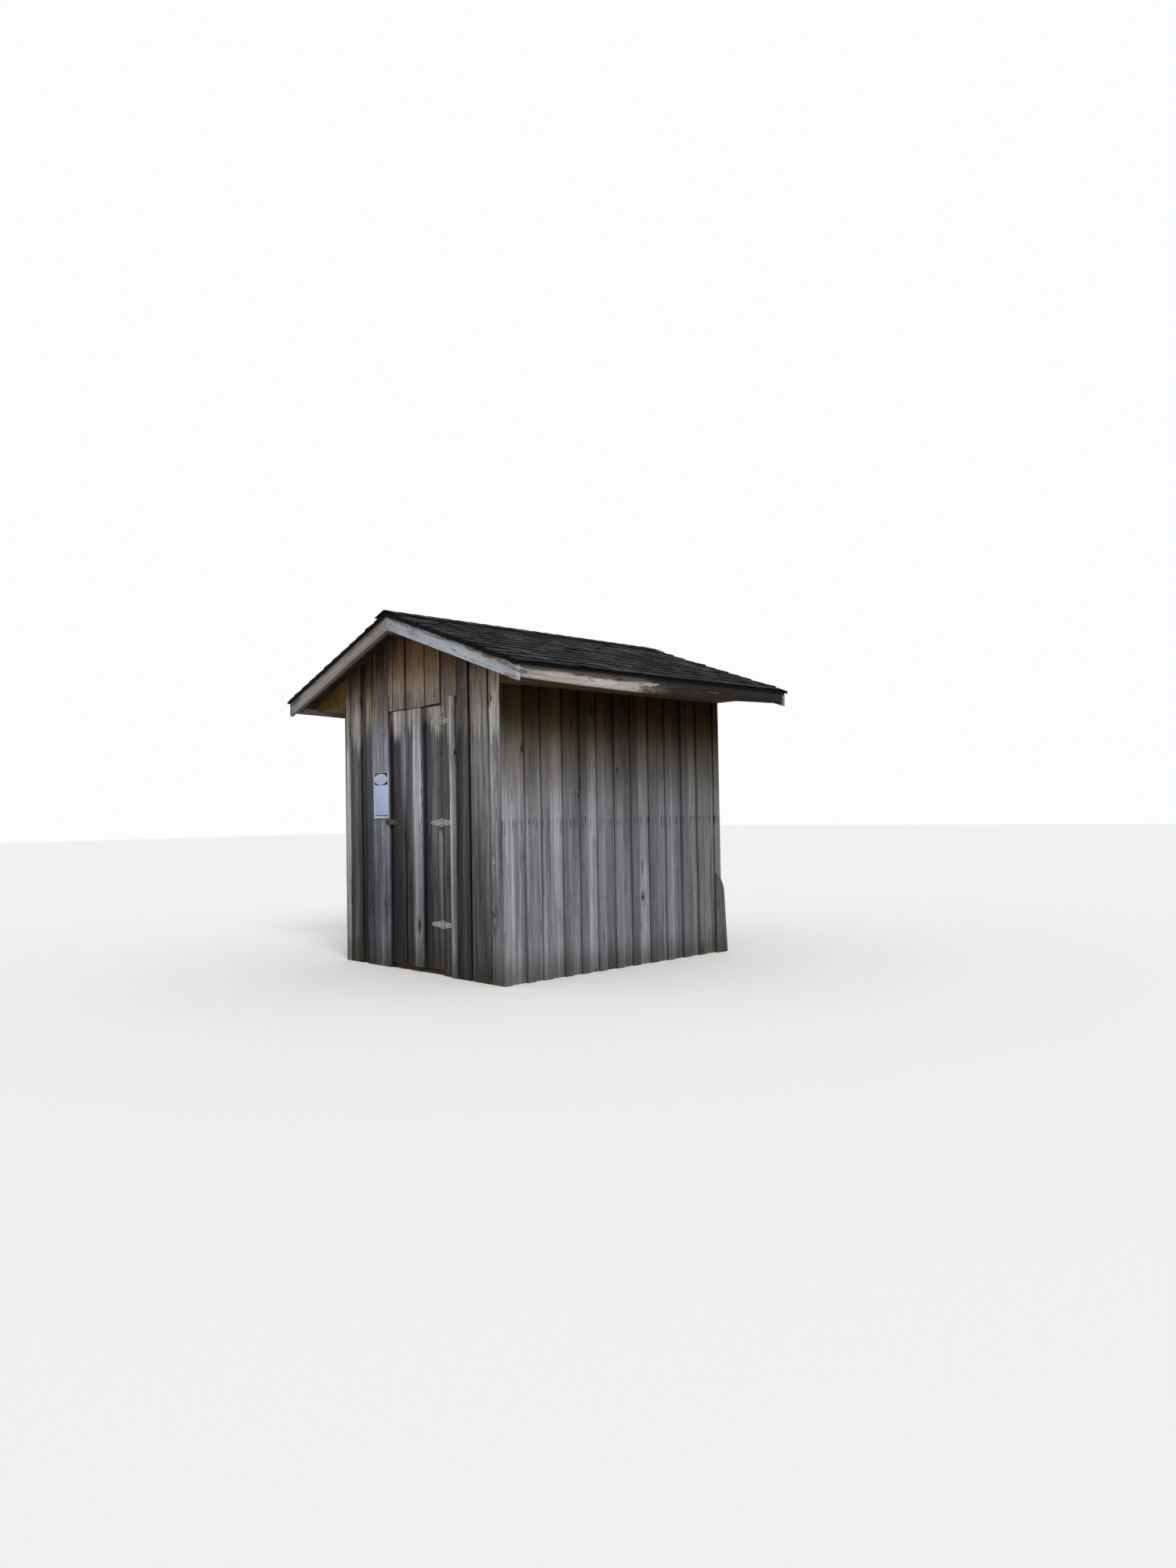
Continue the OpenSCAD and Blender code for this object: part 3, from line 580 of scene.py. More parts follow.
def islands(bm):
    """The vertices of each separate solid of a mesh."""
    seen = set()
    for start in bm.verts:
        if start in seen:
            continue
        seen.add(start)
        island = [start]
        for vert in island:
            for linked in (edge.other_vert(vert) for edge in vert.link_edges):
                if linked not in seen:
                    seen.add(linked)
                    island.append(linked)
        yield island


def solids(node):
    """Lowest and highest corner of each separate solid of a CAD node, from left to right."""
    bm = cad_copy(node)
    found = []
    for island in islands(bm):
        by_axis = list(zip(*(vert.co for vert in island)))
        found.append((Vector(map(min, by_axis)), Vector(map(max, by_axis))))
    bm.free()
    return sorted(found, key=lambda corners: [round(c, 4) for c in corners[0]])


def gather(parts, name, material):
    """One object out of several bmeshes."""
    whole = bmesh.new()
    for part in parts:
        mesh = bpy.data.meshes.new("part")
        part.to_mesh(mesh)
        part.free()
        whole.from_mesh(mesh)
        bpy.data.meshes.remove(mesh)
    mesh = bpy.data.meshes.new(name)
    for face in whole.faces:
        face.smooth = True
    whole.to_mesh(mesh)
    whole.free()
    mesh.set_sharp_from_angle(angle=ARRIS_ANGLE)
    mesh.materials.append(material)
    piece = bpy.data.objects.new(name, mesh)
    bpy.context.scene.collection.objects.link(piece)
    return piece


def mount(piece, body, slot, *nodes):
    """Lets a piece ride on its body, in place of CAD nodes if any are named. The slot is not used."""
    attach(piece, body)
    if nodes:
        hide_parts(*nodes)


def place_between(low, high, facing, grain):
    """Matrix and size that put a board, drawn with its face to -Y and its grain up Z, between two corners."""
    back = -facing
    side = back.cross(grain)
    turn = Matrix((side, back, grain)).transposed().to_4x4()
    size = high - low
    return (Matrix.Translation((low + high) / 2) @ turn,
            Vector((abs(size.dot(side)), abs(size.dot(back)), abs(size.dot(grain)))))


def wood_marks(bm):
    """The layers that the wood finishes read."""
    names = ("grain_at", "edges", "flanks", "strip")
    return (bm.verts.layers.float_color.new("look"), bm.verts.layers.float.new("depth"),
            *(bm.verts.layers.float_vector.new(name) for name in names))


def mark(vert, layers, colour, share, grain, edges, flanks=(1, 1, 1), strip=(0, 0, 0), depth=0.0):
    vert[layers[0]] = (*colour, share)
    vert[layers[1]] = depth
    for layer, value in zip(layers[2:], (grain, edges, flanks, strip)):
        vert[layer] = Vector(value)


def look(red, green, blue, turn=NEVER, left=1.0, right=1.0, kept=1.0, strip=(0, 0, 0)):
    """A board's weathered tone up to the height of turn, darkened with painted shade on boards in the
    recesses, with shares of it at its left and right edges that paint light and shade across it, the share of
    the sheltered tone that it shows above, and the width, foot and top of a pale strip."""
    return {"colour": screen(red, green, blue), "turn": turn, "flanks": (left, right, kept), "strip": strip}


def cut_checks(bm, rng, size, count, half_w):
    """Scores the ends of a board for drying checks: each one's line, end, reach and depth."""
    found = []
    for number in range(count):
        x = size.x * rng.uniform(-0.42, 0.42)
        half = half_w * rng.uniform(0.6, 1.2)
        score(bm, 0, x - half, x, x + half)
        found.append((x, rng.choice((-1, 1)), size.z * rng.uniform(0.06, 0.3), rng.uniform(0.003, 0.007)))
    return found


def timber(size, rng, colour=ASH, turn=NEVER, flanks=(1, 1, 1), strip=(0, 0, 0), wander=0.0012, bow=0.0012,
           cup=0.0, checks=0, check_half=0.0012, rag=0.003, step=LOOP_STEP):
    """A worn board round the origin: its width along X, its thickness along Y and its grain along Z.
    Its edges wander, its face bows and cups, and its ends are ragged and checked."""
    bm = block(size)
    layers = wood_marks(bm)
    bevel(bm, edges_along(bm, 2), CHAMFER)
    checked = cut_checks(bm, rng, size, checks, check_half)
    divide(bm, 2, max(1, round(size.z / step) - 1))
    key = rng.uniform(0.0, 90.0)
    offset = Vector((key, 1.7 * key, 2.3 * key))
    shade = rng.uniform(0.95, 1.05)
    colour = [c * shade for c in colour[:3]]
    for vert in bm.verts:
        x, y, z = vert.co
        across = 2 * x / size.x
        edges = Vector((x + size.x / 2, size.x / 2 - x, z + size.z / 2))
        mark(vert, layers, colour, turn / NEVER, vert.co + offset, edges, flanks, strip, y / size.y + 0.5)
        for line, end, reach, depth in checked:
            along = (size.z / 2 - end * z) / reach
            if abs(x - line) < TOUCH and y < 0 and along < 1.0:
                vert.co.y += depth * (1.0 - along)
        vert.co.x += wander * abs(across) ** 4 * noise.noise((5.0 * z, key, math.copysign(2.0, x)))
        vert.co.y += bow * noise.noise((1.4 * z, key, 5.0)) - cup * across ** 2
        vert.co.y += 0.0006 * noise.noise((24.0 * x, key, 3.0 * z))
        if abs(abs(z) - size.z / 2) < TOUCH:
            vert.co.z -= math.copysign(rag * abs(noise.noise((55.0 * x, key, z))), z)
    return bm


def turn_to(facing):
    """Turns what is drawn facing up Z."""
    return facing.to_track_quat("Z", "Y").to_matrix().to_4x4()


def nail_heads(points, facing, name, body):
    """Domed nail heads, a little sunk in the wood."""
    bm = bmesh.new()
    for point in points:
        bmesh.ops.create_cone(bm, cap_ends=True, segments=8, radius1=0.0042, radius2=0.0024, depth=0.003,
                              matrix=Matrix.Translation(point) @ turn_to(facing))
    mount(gather([bm], name, NAIL_STEEL), body, "hinge_steel")


def siding(node, facing, slot, body="building", looks=({},), grain=UP, roof_cut=True, nail_rows=(),
           last_shape=None, **forms):
    """Replaces the boards of a CAD node by worn ones between the same corners, and nails them.
    Looks, and forms that are tuples, go board by board. The last board may be given a shape of its own."""
    rng = random.Random(node)
    parts, nails = [], []
    boards = solids(node)
    for number, (low, high) in enumerate(boards):
        place, size = place_between(low, high, facing, grain)
        own = {name: form[number % len(form)] if isinstance(form, tuple) else form
               for name, form in forms.items()}
        bm = timber(size, rng, **looks[number % len(looks)], **own)
        if last_shape and number == len(boards) - 1:
            last_shape(bm, size)
        move(bm, place)
        if roof_cut:
            cut_under_roof(bm)
        parts.append(bm)
        middle = (low + high) / 2 + facing * (size.y / 2)
        for row in nail_rows:
            nail = middle + facing.cross(grain) * rng.uniform(-0.012, 0.012)
            nail.z = row + rng.uniform(-0.012, 0.012)
            if low.z + 0.02 < nail.z < high.z - 0.02:
                nails.append(nail)
    if nails:
        nail_heads(nails, facing, "nails_" + node, body)
    mount(gather(parts, "worn_" + node, WOODS[slot]), body, slot, node)


def eased(node, along, slot, body="building", colour=ASH, arris=0.0015):
    """Replaces a CAD node by a copy with eased arrises and its grain along one direction."""
    rng = random.Random(node)
    bm = flat_faced_copy(node)
    bevel(bm, bm.edges[:], arris)
    layers = wood_marks(bm)
    side = along.cross(BACK if abs(along.y) < 0.7 else UP).normalized()
    other = along.cross(side)
    off_the_edges = Vector((0.1, 0.1, 1.0))
    for island in islands(bm):
        key, shade = rng.uniform(0.0, 90.0), rng.uniform(0.82, 1.15)
        tone = [c * shade for c in colour[:3]]
        for vert in island:
            grain = Vector((vert.co.dot(side), vert.co.dot(other), vert.co.dot(along))) + Vector((key,) * 3)
            mark(vert, layers, tone, 1.0, grain, off_the_edges)
    mount(gather([bm], "worn_" + node, WOODS[slot]), body, slot, node)


# Front wall and door, left to right
NAIL_ROWS = (FOOT_NAILS_Z, GIRT_Z, PLATE_Z)
# The boards behind the battens take dark tones, which paint the shade in the recesses between the battens.
siding("front_boards_left", FRONT, "front_wall_wood", bow=0.001, looks=(
    look(60, 58, 60, 1.95, kept=0.4), look(69, 67, 69, 1.97, kept=0.4),
    look(69, 67, 69, 1.95, kept=0.5), look(44, 38, 41, 1.88, kept=0.6)))
siding("front_battens_left", FRONT, "front_batten_wood", checks=(0, 1, 1, 2), nail_rows=NAIL_ROWS,
       wander=0.003, looks=(
           look(202, 203, 202, 1.74, left=1.1, right=0.64, kept=1.3),
           look(115, 114, 113, 1.8, left=0.5, right=0.4, kept=1.15),
           look(98, 96, 100, 1.92, left=0.56, right=0.8, kept=0.85),
           look(138, 141, 151, 1.95, left=0.6, right=0.8, kept=0.6)))
siding("front_boards_over_door", FRONT, "front_wall_wood", looks=(look(69, 67, 69, 1.9, kept=0.45),))
siding("front_battens_over_door", FRONT, "front_batten_wood", checks=(1, 3, 4, 3), check_half=0.003,
       rag=0.008, nail_rows=(HEAD_Z + 0.06, PLATE_Z + 0.2), wander=0.003,
       looks=(look(116, 114, 114, 1.9, left=0.5, right=0.9, kept=1.75),))
siding("hinge_jamb", FRONT, "front_wall_wood", looks=(look(91, 91, 94, 1.9, left=0.8, kept=0.95),), checks=1)
siding("front_boards_right", FRONT, "front_wall_wood", looks=(
    look(50, 48, 50, 1.95, kept=0.3), look(92, 92, 92, 1.85, left=0.3, kept=0.3),
    look(50, 48, 50, 1.9, kept=0.3)))
siding("front_battens_right", FRONT, "front_batten_wood", checks=(0, 1, 2, 1), cup=0.001,
       nail_rows=NAIL_ROWS, wander=0.003, looks=(
           look(152, 152, 153, 2.0, left=1.15, right=0.78, kept=1.7),
           look(73, 73, 75, 1.85, left=0.5, right=0.9, kept=0.5),
           look(110, 110, 109, 1.88, left=0.9, kept=1.0, strip=(0.022, 0.0, 2.05)),
           look(140, 140, 144, 1.8, left=0.75, right=1.05, kept=1.8)))
# The door's boards behind its battens are dark in the same way, with painted shade in the recesses.
siding("door_boards", FRONT, "door_wood", body="door", roof_cut=False, checks=(0, 0, 0, 2), bow=0.0006,
       looks=(
           look(44, 38, 41, 1.87, kept=0.75), look(124, 124, 128, 1.9, left=0.8, kept=1.0),
           look(66, 65, 67, 1.97, right=0.22, kept=0.35),
           look(98, 98, 101, 1.905, left=0.63, right=0.65, kept=1.2, strip=(0.05, -1.0, 1.128))))
siding("door_battens", FRONT, "door_wood", body="door", roof_cut=False, checks=(1, 2), bow=0.0006,
       nail_rows=(0.44, GIRT_Z, 1.9), wander=0.003, looks=(
           look(66, 66, 68, 1.87, left=0.9, kept=1.35, strip=(0.056, 1.42, NEVER)),
           look(176, 179, 187, 1.93, left=0.16, right=0.88, kept=1.5)))


# Side and back walls
def wall_looks(name, count, front, rear, spread=15):
    """Tones that go from the front corner's to the rear corner's, a little different on each board."""
    rng = random.Random(name)
    found = []
    for number in range(count):
        tone = front + (rear - front) * number / (count - 1) + rng.uniform(-spread, spread)
        if number == 0:
            tone += 18
        elif number == count - 1:
            tone -= 10
        greenish = number > count - 3
        found.append(look(tone, tone + (3 if greenish else 1), tone + (1 if greenish else 5),
                          rng.uniform(1.16, 1.32), kept=(tone / 105) ** 2.2 * rng.uniform(0.75, 1.25)))
    return found


def shoulder_and_flare(bm, size):
    """Shapes a short corner board: a quarter-round shoulder above, and a foot that flares out below."""
    width = PATCH_SHOULDER_W
    drop = math.sqrt(PATCH_ROUND ** 2 - (PATCH_ROUND - width) ** 2)
    for vert in bm.verts:
        over = vert.co.z - (size.z / 2 - drop)
        if over > 0:
            reach = width - PATCH_ROUND + math.sqrt(max(0.0, PATCH_ROUND ** 2 - over ** 2))
        else:
            reach = width + (size.x - width) * over / (drop - size.z)
        vert.co.x = (vert.co.x / size.x + 0.5) * max(reach, 0.002) - size.x / 2


for side_name, facing in (("right", RIGHT), ("left", LEFT)):
    boards, battens = side_name + "_wall_boards", side_name + "_wall_battens"
    shared = {"roof_cut": False, "checks": (0, 1, 0, 1, 1), "step": (LOOP_STEP,) * 12 + (PATCH_STEP,)}
    siding(boards, facing, "side_wall_wood", looks=wall_looks(boards, 13, 124, 100),
           last_shape=shoulder_and_flare if side_name == "right" else None, **shared)
    siding(battens, facing, "side_batten_wood", looks=wall_looks(battens, 13, 124, 100), cup=0.001,
           nail_rows=NAIL_ROWS, **shared)
siding("back_wall_boards", BACK, "side_wall_wood", looks=wall_looks("back_boards", 11, 104, 110),
       checks=(0, 1))
siding("back_wall_battens", BACK, "side_batten_wood", looks=wall_looks("back_battens", 12, 106, 112),
       checks=(0, 0, 1), nail_rows=NAIL_ROWS)

# Frame and floor
siding("floor_boards", UP, "floor_wood", grain=BACK, roof_cut=False, looks=({"colour": FLOOR_TONE},),
       cup=0.0005)
for node_name, grain, tone in (
        ("floor_rims", BACK, JOIST_TONE), ("floor_joists", RIGHT, JOIST_TONE), ("wall_posts", UP, STUD_TONE),
        ("side_plates", BACK, STUD_TONE), ("end_plates", RIGHT, STUD_TONE), ("wall_girts", RIGHT, STUD_TONE),
        ("gable_struts", UP, STUD_TONE), ("ridge_board", BACK, STUD_TONE)):
    eased(node_name, grain, "frame_wood", colour=tone)
for side_name, side in (("left", -1), ("right", 1)):
    down_slope = Vector((side * math.cos(ROOF_PITCH), 0, -math.sin(ROOF_PITCH)))
    eased("rafters_" + side_name, down_slope, "frame_wood", colour=STUD_TONE)
    eased("soffit_" + side_name, BACK, "roof_underside", colour=SOFFIT_TONES_WITH_SHADE[side_name])
    eased("roof_deck_" + side_name, BACK, "roof_underside", colour=DECK_TONE)
eased("door_ledges", RIGHT, "frame_wood", body="door", colour=STUD_TONE)

# Roof covering, drawn along the ridge, up the slope and off the deck
EAVE_EDGE = HALF_SPAN + 2 * ROOF_LIP
EAVE_TOP = RIDGE_Z - EAVE_EDGE * ROOF_FALL + DECK_T + 2 * LAY_GAP
ROOF_RUN = EAVE_EDGE / math.cos(ROOF_PITCH)
ROOF_MID = (ROOF_FRONT + ROOF_BACK) / 2
ROOF_HALF = (ROOF_BACK - ROOF_FRONT) / 2 + 2 * ROOF_LIP
FOLD = 0.004


def slope_place(side):
    """Frame on a roof slope: X along the ridge, Y up the slope from the eave, Z off the deck."""
    along = Vector((0, side, 0))
    up_slope = Vector((-side * math.cos(ROOF_PITCH), 0, math.sin(ROOF_PITCH)))
    turn = Matrix((along, up_slope, along.cross(up_slope))).transposed().to_4x4()
    return Matrix.Translation((side * EAVE_EDGE, ROOF_MID, EAVE_TOP)) @ turn


def both_rakes(*insides):
    """Places along the ridge that lie so far inside the edge of each rake."""
    return [side * (ROOF_HALF - inside) for side in (-1, 1) for inside in insides]


def droop(bm):
    """Bends what overhangs the rakes and the eave down over the deck's edge."""
    for vert in bm.verts:
        past_rake = max(abs(vert.co.x) - (ROOF_HALF - ROOF_LIP) + FOLD, 0.0)
        past_eave = max(ROOF_LIP - vert.co.y - FOLD, 0.0)
        if past_rake:
            vert.co.z -= 1.35 * past_rake
            vert.co.x -= math.copysign(0.45 * past_rake, vert.co.x)
        if past_eave:
            vert.co.z -= 0.9 * past_eave


def felt(width, start, length, thickness, middle=0.0, rise=0.0, cuts=0):
    """A flat piece of roofing felt for bending, and the layer of its tones."""
    bm = block((width, length, thickness), (middle, start + length / 2, rise))
    if cuts:
        divide(bm, 0, cuts)
        divide(bm, 1, 2)
    return bm, bm.verts.layers.float_color.new("look")


def underlay():
    """The sheet of felt under the tabs, whose edges show below them."""
    bm = felt(2 * ROOF_HALF, 0.0, ROOF_RUN, thickness=0.006, rise=0.0032)[0]
    score(bm, 0, *both_rakes(ROOF_LIP, FOLD))
    score(bm, 1, FOLD, ROOF_LIP)
    return bm


def shingle_tab(rng, x0, x1, s0, length, tail):
    """One tab: flat where the next course holds it, thinner there, and curled at its free corners."""
    width = x1 - x0
    bm, tones = felt(width, s0, length, TAB_T, middle=(x0 + x1) / 2, cuts=5)
    score(bm, 0, *both_rakes(ROOF_LIP, FOLD))
    tone, key = rng.uniform(0.1, 0.9), rng.uniform(0, 50)
    curls = (rng.uniform(0, 1) ** 3 * 0.008, rng.uniform(0, 1) ** 3 * 0.008)
    for vert in bm.verts:
        across = (vert.co.x - x0) / width
        way_up = (vert.co.y - s0) / length
        top = vert.co.z > 0
        free = (1 - way_up) ** 2
        lift = free * (curls[0] * (1 - across) ** 3 + curls[1] * across ** 3)
        lift += 0.0016 * free * noise.noise((9 * vert.co.x, key, 0))
        thickness = TAB_T * (1 - 0.6 * way_up)
        vert.co.z = BUTT_RISE + (tail - BUTT_RISE) * way_up + lift - (0.0 if top else thickness)
        vert.co.y += 0.0025 * free * noise.noise((30 * vert.co.x, key, 4.0)) + lift * ROOF_FALL
        vert.co.y = max(vert.co.y, 0.0004)
        # Edge marks the rakes' and the eave's edges, which the finish darkens as bare asphalt and painted
        # shadow.
        edge = 1.0 if abs(vert.co.x) > ROOF_HALF - 0.013 or vert.co.y < 0.006 else 0.0
        vert[tones] = (tone, way_up, edge, 0.0)
    return bm


def roof_covering(side, side_name):
    name = "shingle_tabs_" + side_name
    rng = random.Random(name)
    parts = [underlay()]
    for course in range(math.ceil(ROOF_RUN / EXPOSURE)):
        s0 = course * EXPOSURE + (rng.uniform(-0.004, 0.004) if course else 0.0)
        length = min(TAB_LENGTH, ROOF_RUN - s0)
        tail = BUTT_RISE - (BUTT_RISE - TAIL_RISE) * length / TAB_LENGTH
        x = -ROOF_HALF - TAB_W * (0.5 * (course % 2) + rng.uniform(0.0, 0.06))
        while x < ROOF_HALF:
            x0, x1 = max(x + HALF_SLOT, -ROOF_HALF), min(x + TAB_W - HALF_SLOT, ROOF_HALF)
            if x1 - x0 > NARROWEST_TAB:
                slip = rng.uniform(-0.013, 0.004) if course else 0.0
                parts.append(shingle_tab(rng, x0, x1, s0 + slip, length, tail))
            x += TAB_W
    for part in parts:
        droop(part)
        move(part, slope_place(side))
        for vert in part.verts:
            vert.co.x = max(-FELT_REACH, min(FELT_REACH, vert.co.x))
    mount(gather(parts, name, SHINGLE), "building", "asphalt_shingle", "shingles_" + side_name)


def ridge_caps():
    """Folded caps along the ridge, each lapped over the one behind it."""
    rng = random.Random("ridge")
    low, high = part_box("ridge_cap")
    cap_t, cap_rise, fold_round, rear_drop = 0.004, 0.0022, 0.012, 0.0052
    parts = []
    for number in range(math.ceil((high.y - low.y) / EXPOSURE)):
        y0 = low.y + number * EXPOSURE + 0.001
        length = min(TAB_LENGTH, high.y - y0)
        if length < NARROWEST_TAB:
            continue
        bm, tones = felt(high.x - low.x - rng.uniform(0.0, 0.012), y0, length, cap_t, cuts=9)
        tone, key = rng.uniform(0.15, 0.75), rng.uniform(0, 50)
        for vert in bm.verts:
            way_back = (vert.co.y - y0) / length
            x = vert.co.x
            fold = math.sqrt(x * x + fold_round ** 2) * ROOF_FALL
            lift = 0.0012 * noise.noise((12 * x, key, 6 * way_back)) - 0.0012 - rear_drop * way_back
            vert.co.z += high.z + cap_rise - fold + min(lift, 0.0)
            if number:
                vert.co.y += 0.003 * (1 - way_back) * noise.noise((22 * x, key, 1.0))
            # The way back darkens each cap just before the next one laps over it: painted shade and dirt.
            vert[tones] = (tone, way_back, 0.0, 0.0)
        parts.append(bm)
    mount(gather(parts, "ridge_cap_tabs", SHINGLE), "building", "asphalt_shingle", "ridge_cap")


roof_covering(1, "right")
roof_covering(-1, "left")
ridge_caps()


# Trim
def trim_timber(node, low, high, facing, grain, **forms):
    """A board between two corners, sawn straight at its ends."""
    place, size = place_between(low, high, facing, grain)
    bm = timber(size, random.Random(node), rag=0.0, step=TRIM_STEP, **forms)
    move(bm, place)
    return bm


def paint(bm, node, facing, wear_at, bare_tone_and_shade_at=lambda co: 1.0, hidden_top=0.0):
    """Finishes a board in worn paint: the alpha of its look becomes the wear, the second function tells how
    pale its bare wood is, darker on the fascia with painted shade, and its edges are measured from what shows
    of its top."""
    tones = bm.verts.layers.float_color["look"]
    flanks = bm.verts.layers.float_vector["flanks"]
    edges = bm.verts.layers.float_vector["edges"]
    for vert in bm.verts:
        vert[tones] = (*vert[tones][:3], wear_at(vert.co))
        vert[flanks] = Vector((1, 1, bare_tone_and_shade_at(vert.co)))
        top, foot, along = vert[edges] if facing in (FRONT, RIGHT) else vert[edges].yxz
        vert[edges] = Vector((top - hidden_top, foot + hidden_top, along))
    mount(gather([bm], "worn_" + node, PAINT), "building", "painted_trim", node)


def rake_board(node, facing, colour):
    """A painted board down one slope of a gable, plumb cut at both ends."""
    low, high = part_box(node)
    depth = high.z - low.z - (high.x - low.x) * ROOF_FALL
    flat_low = Vector((low.x, low.y, RIDGE_Z - depth))
    bm = trim_timber(node, flat_low, high, facing, RIGHT, colour=colour, bow=0.0015, checks=2)
    for vert in bm.verts:
        vert.co.z -= abs(vert.co.x) * ROOF_FALL

    def wear_at(co):
        top = (co.z - (RIDGE_Z - abs(co.x) * ROOF_FALL)) / depth + 1
        eave = max(abs(co.x) / HALF_SPAN - 0.75, 0) * 4
        return 0.36 + 0.42 * top ** 3 * (1 - 0.5 * abs(co.x) / HALF_SPAN) + 0.16 * eave

    paint(bm, node, facing, wear_at)


def fascia_board(node, facing):
    """A painted board along an eave: its lower edge bellies down, and its top follows the slope."""
    low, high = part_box(node)
    bm = trim_timber(node, low + FASCIA_BELLY * UP, high, facing, BACK, colour=WARM_WHITE, wander=0.003,
                     bow=0.0, checks=4)
    middle = (low.y + high.y) / 2
    half = (high.y - low.y) / 2
    for vert in bm.verts:
        share = (high.z - vert.co.z) / (high.z - low.z - FASCIA_BELLY)
        vert.co.z -= share * FASCIA_BELLY * (1 - ((vert.co.y - middle) / half) ** 2)
        vert.co.x = max(low.x, min(high.x, vert.co.x))
    cut_under_roof(bm)

    # Towards the rear the paint wears through to bare wood that grows darker: worn paint and dark wood, with
    # painted shade over the rear of the board as well.
    def rearward(co, start, length):
        return max(0.0, min(1.0, (co.y - start) / length))

    def wear_at(co):
        return 0.4 + 0.62 * rearward(co, -0.42, 0.45) + 0.2 * noise.noise((0, 3 * co.y, 0))

    def bare_tone_and_shade_at(co):
        return 1.0 - 0.94 * rearward(co, -0.5, 0.55)

    paint(bm, node, facing, wear_at, bare_tone_and_shade_at, FASCIA_HIDDEN_TOP)


rake_board("rake_front_left", FRONT, DULL_WHITE)
rake_board("rake_front_right", FRONT, COOL_WHITE)
rake_board("rake_back_left", BACK, DULL_WHITE)
rake_board("rake_back_right", BACK, DULL_WHITE)
fascia_board("fascia_left", LEFT)
fascia_board("fascia_right", RIGHT)


# Sign, hinges and hasp
def screw_heads(points, facing, radius, name, body):
    """Domed screw heads with a slot."""
    rng = random.Random(name)
    parts = []
    for point in points:
        bm = bmesh.new()
        bmesh.ops.create_uvsphere(bm, u_segments=10, v_segments=6, radius=radius)
        bmesh.ops.bisect_plane(bm, geom=everything(bm), plane_co=(0, 0, 0), plane_no=-UP, clear_outer=True)
        bmesh.ops.scale(bm, vec=(1, 1, 0.45), verts=bm.verts)
        slot_half = radius * 0.16
        score(bm, 0, -slot_half, 0, slot_half)
        for vert in bm.verts:
            if abs(vert.co.x) < 1e-6 and vert.co.z > 1e-4:
                vert.co.z *= 0.35
        bmesh.ops.holes_fill(bm, edges=[edge for edge in bm.edges if edge.is_boundary], sides=0)
        spin = Matrix.Rotation(rng.uniform(0, math.pi), 4, "Z")
        move(bm, Matrix.Translation(point) @ turn_to(facing) @ spin)
        parts.append(bm)
    mount(gather(parts, name, SCREW_STEEL), body, "hinge_steel")


def sign():
    """A plate with a raised rim, a black header with a bare oval, and a bare panel."""
    low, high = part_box("sign_board")
    width = high.x - low.x
    sunk_y = low.y + SIGN_SUNK
    header_z = high.z - SIGN_HEADER
    foot_z = low.z + SIGN_FOOT

    def add(name, material, *parts, replaced=()):
        mount(gather(parts, name, material), "building", "sign_enamel", *replaced)

    def inner(bottom, top, thickness=0.002):
        """A thin plate inside the rim."""
        side = SIGN_RIM + SIGN_PLAY
        bm = block((width - 2 * side, thickness, top - bottom),
                   ((low.x + high.x) / 2, sunk_y + thickness / 2, (bottom + top) / 2))
        bevel(bm, bm.edges[:], SIGN_ARRIS, 2)
        return bm

    def oval(oval_w, height, front_y):
        bm = bmesh.new()
        bmesh.ops.create_cone(bm, cap_ends=True, segments=40, radius1=0.5, radius2=0.5, depth=1.0,
                              matrix=Matrix.Rotation(math.radians(90), 4, "X"))
        bmesh.ops.scale(bm, vec=(oval_w, 0.0016, height), verts=bm.verts)
        move(bm, Matrix.Translation(((low.x + high.x) / 2, front_y, header_z + SIGN_OVAL_RISE)))
        return bm

    plate = block(high - low, (low + high) / 2)
    front = [face for face in plate.faces if face.normal.y < -0.9]
    bmesh.ops.inset_region(plate, faces=front, thickness=SIGN_RIM)
    bmesh.ops.translate(plate, vec=(0, SIGN_RECESS, 0), verts=front[0].verts)
    bevel(plate, plate.edges[:], SIGN_ARRIS, 2)
    add("sign_rim", RIM_ENAMEL, plate, replaced=("sign_board",))
    add("sign_panel", ENAMEL, inner(foot_z, header_z - 0.009))
    header = inner(header_z, high.z - SIGN_RIM - SIGN_PLAY)
    line = inner(foot_z - 0.008, foot_z - 0.002)
    add("sign_header", BLACK_ENAMEL, header, line)
    add("sign_oval_rim", RIM_ENAMEL, oval(0.93 * width, 0.088, sunk_y - 0.0003))
    add("sign_oval", ENAMEL, oval(0.8 * width, 0.072, sunk_y - 0.0008))
    corners = [Vector((x, low.y + 0.0026, z)) for x in (low.x + 0.018, high.x - 0.018)
               for z in (low.z + 0.014, high.z - 0.02)]
    screw_heads(corners, FRONT, SIGN_SCREW_R, "sign_screws", "building")


def softened(node, body, slot, material):
    """Replaces a CAD node by a copy with rounded edges."""
    bm = flat_faced_copy(node)
    sharp = [edge for edge in bm.edges if edge.is_manifold and edge.calc_face_angle() > math.radians(40)]
    bevel(bm, sharp, 0.0005, 2)
    mount(gather([bm], "worn_" + node, material), body, slot, node)


sign()
softened("hinge_wall_leaves", "building", "hinge_steel", HINGE_STEEL)
softened("hinge_door_leaves", "door", "hinge_steel", HINGE_STEEL)
softened("hasp_staple", "building", "hasp_steel", HASP_STEEL)
softened("hasp_strap", "door", "hasp_steel", HASP_STEEL)

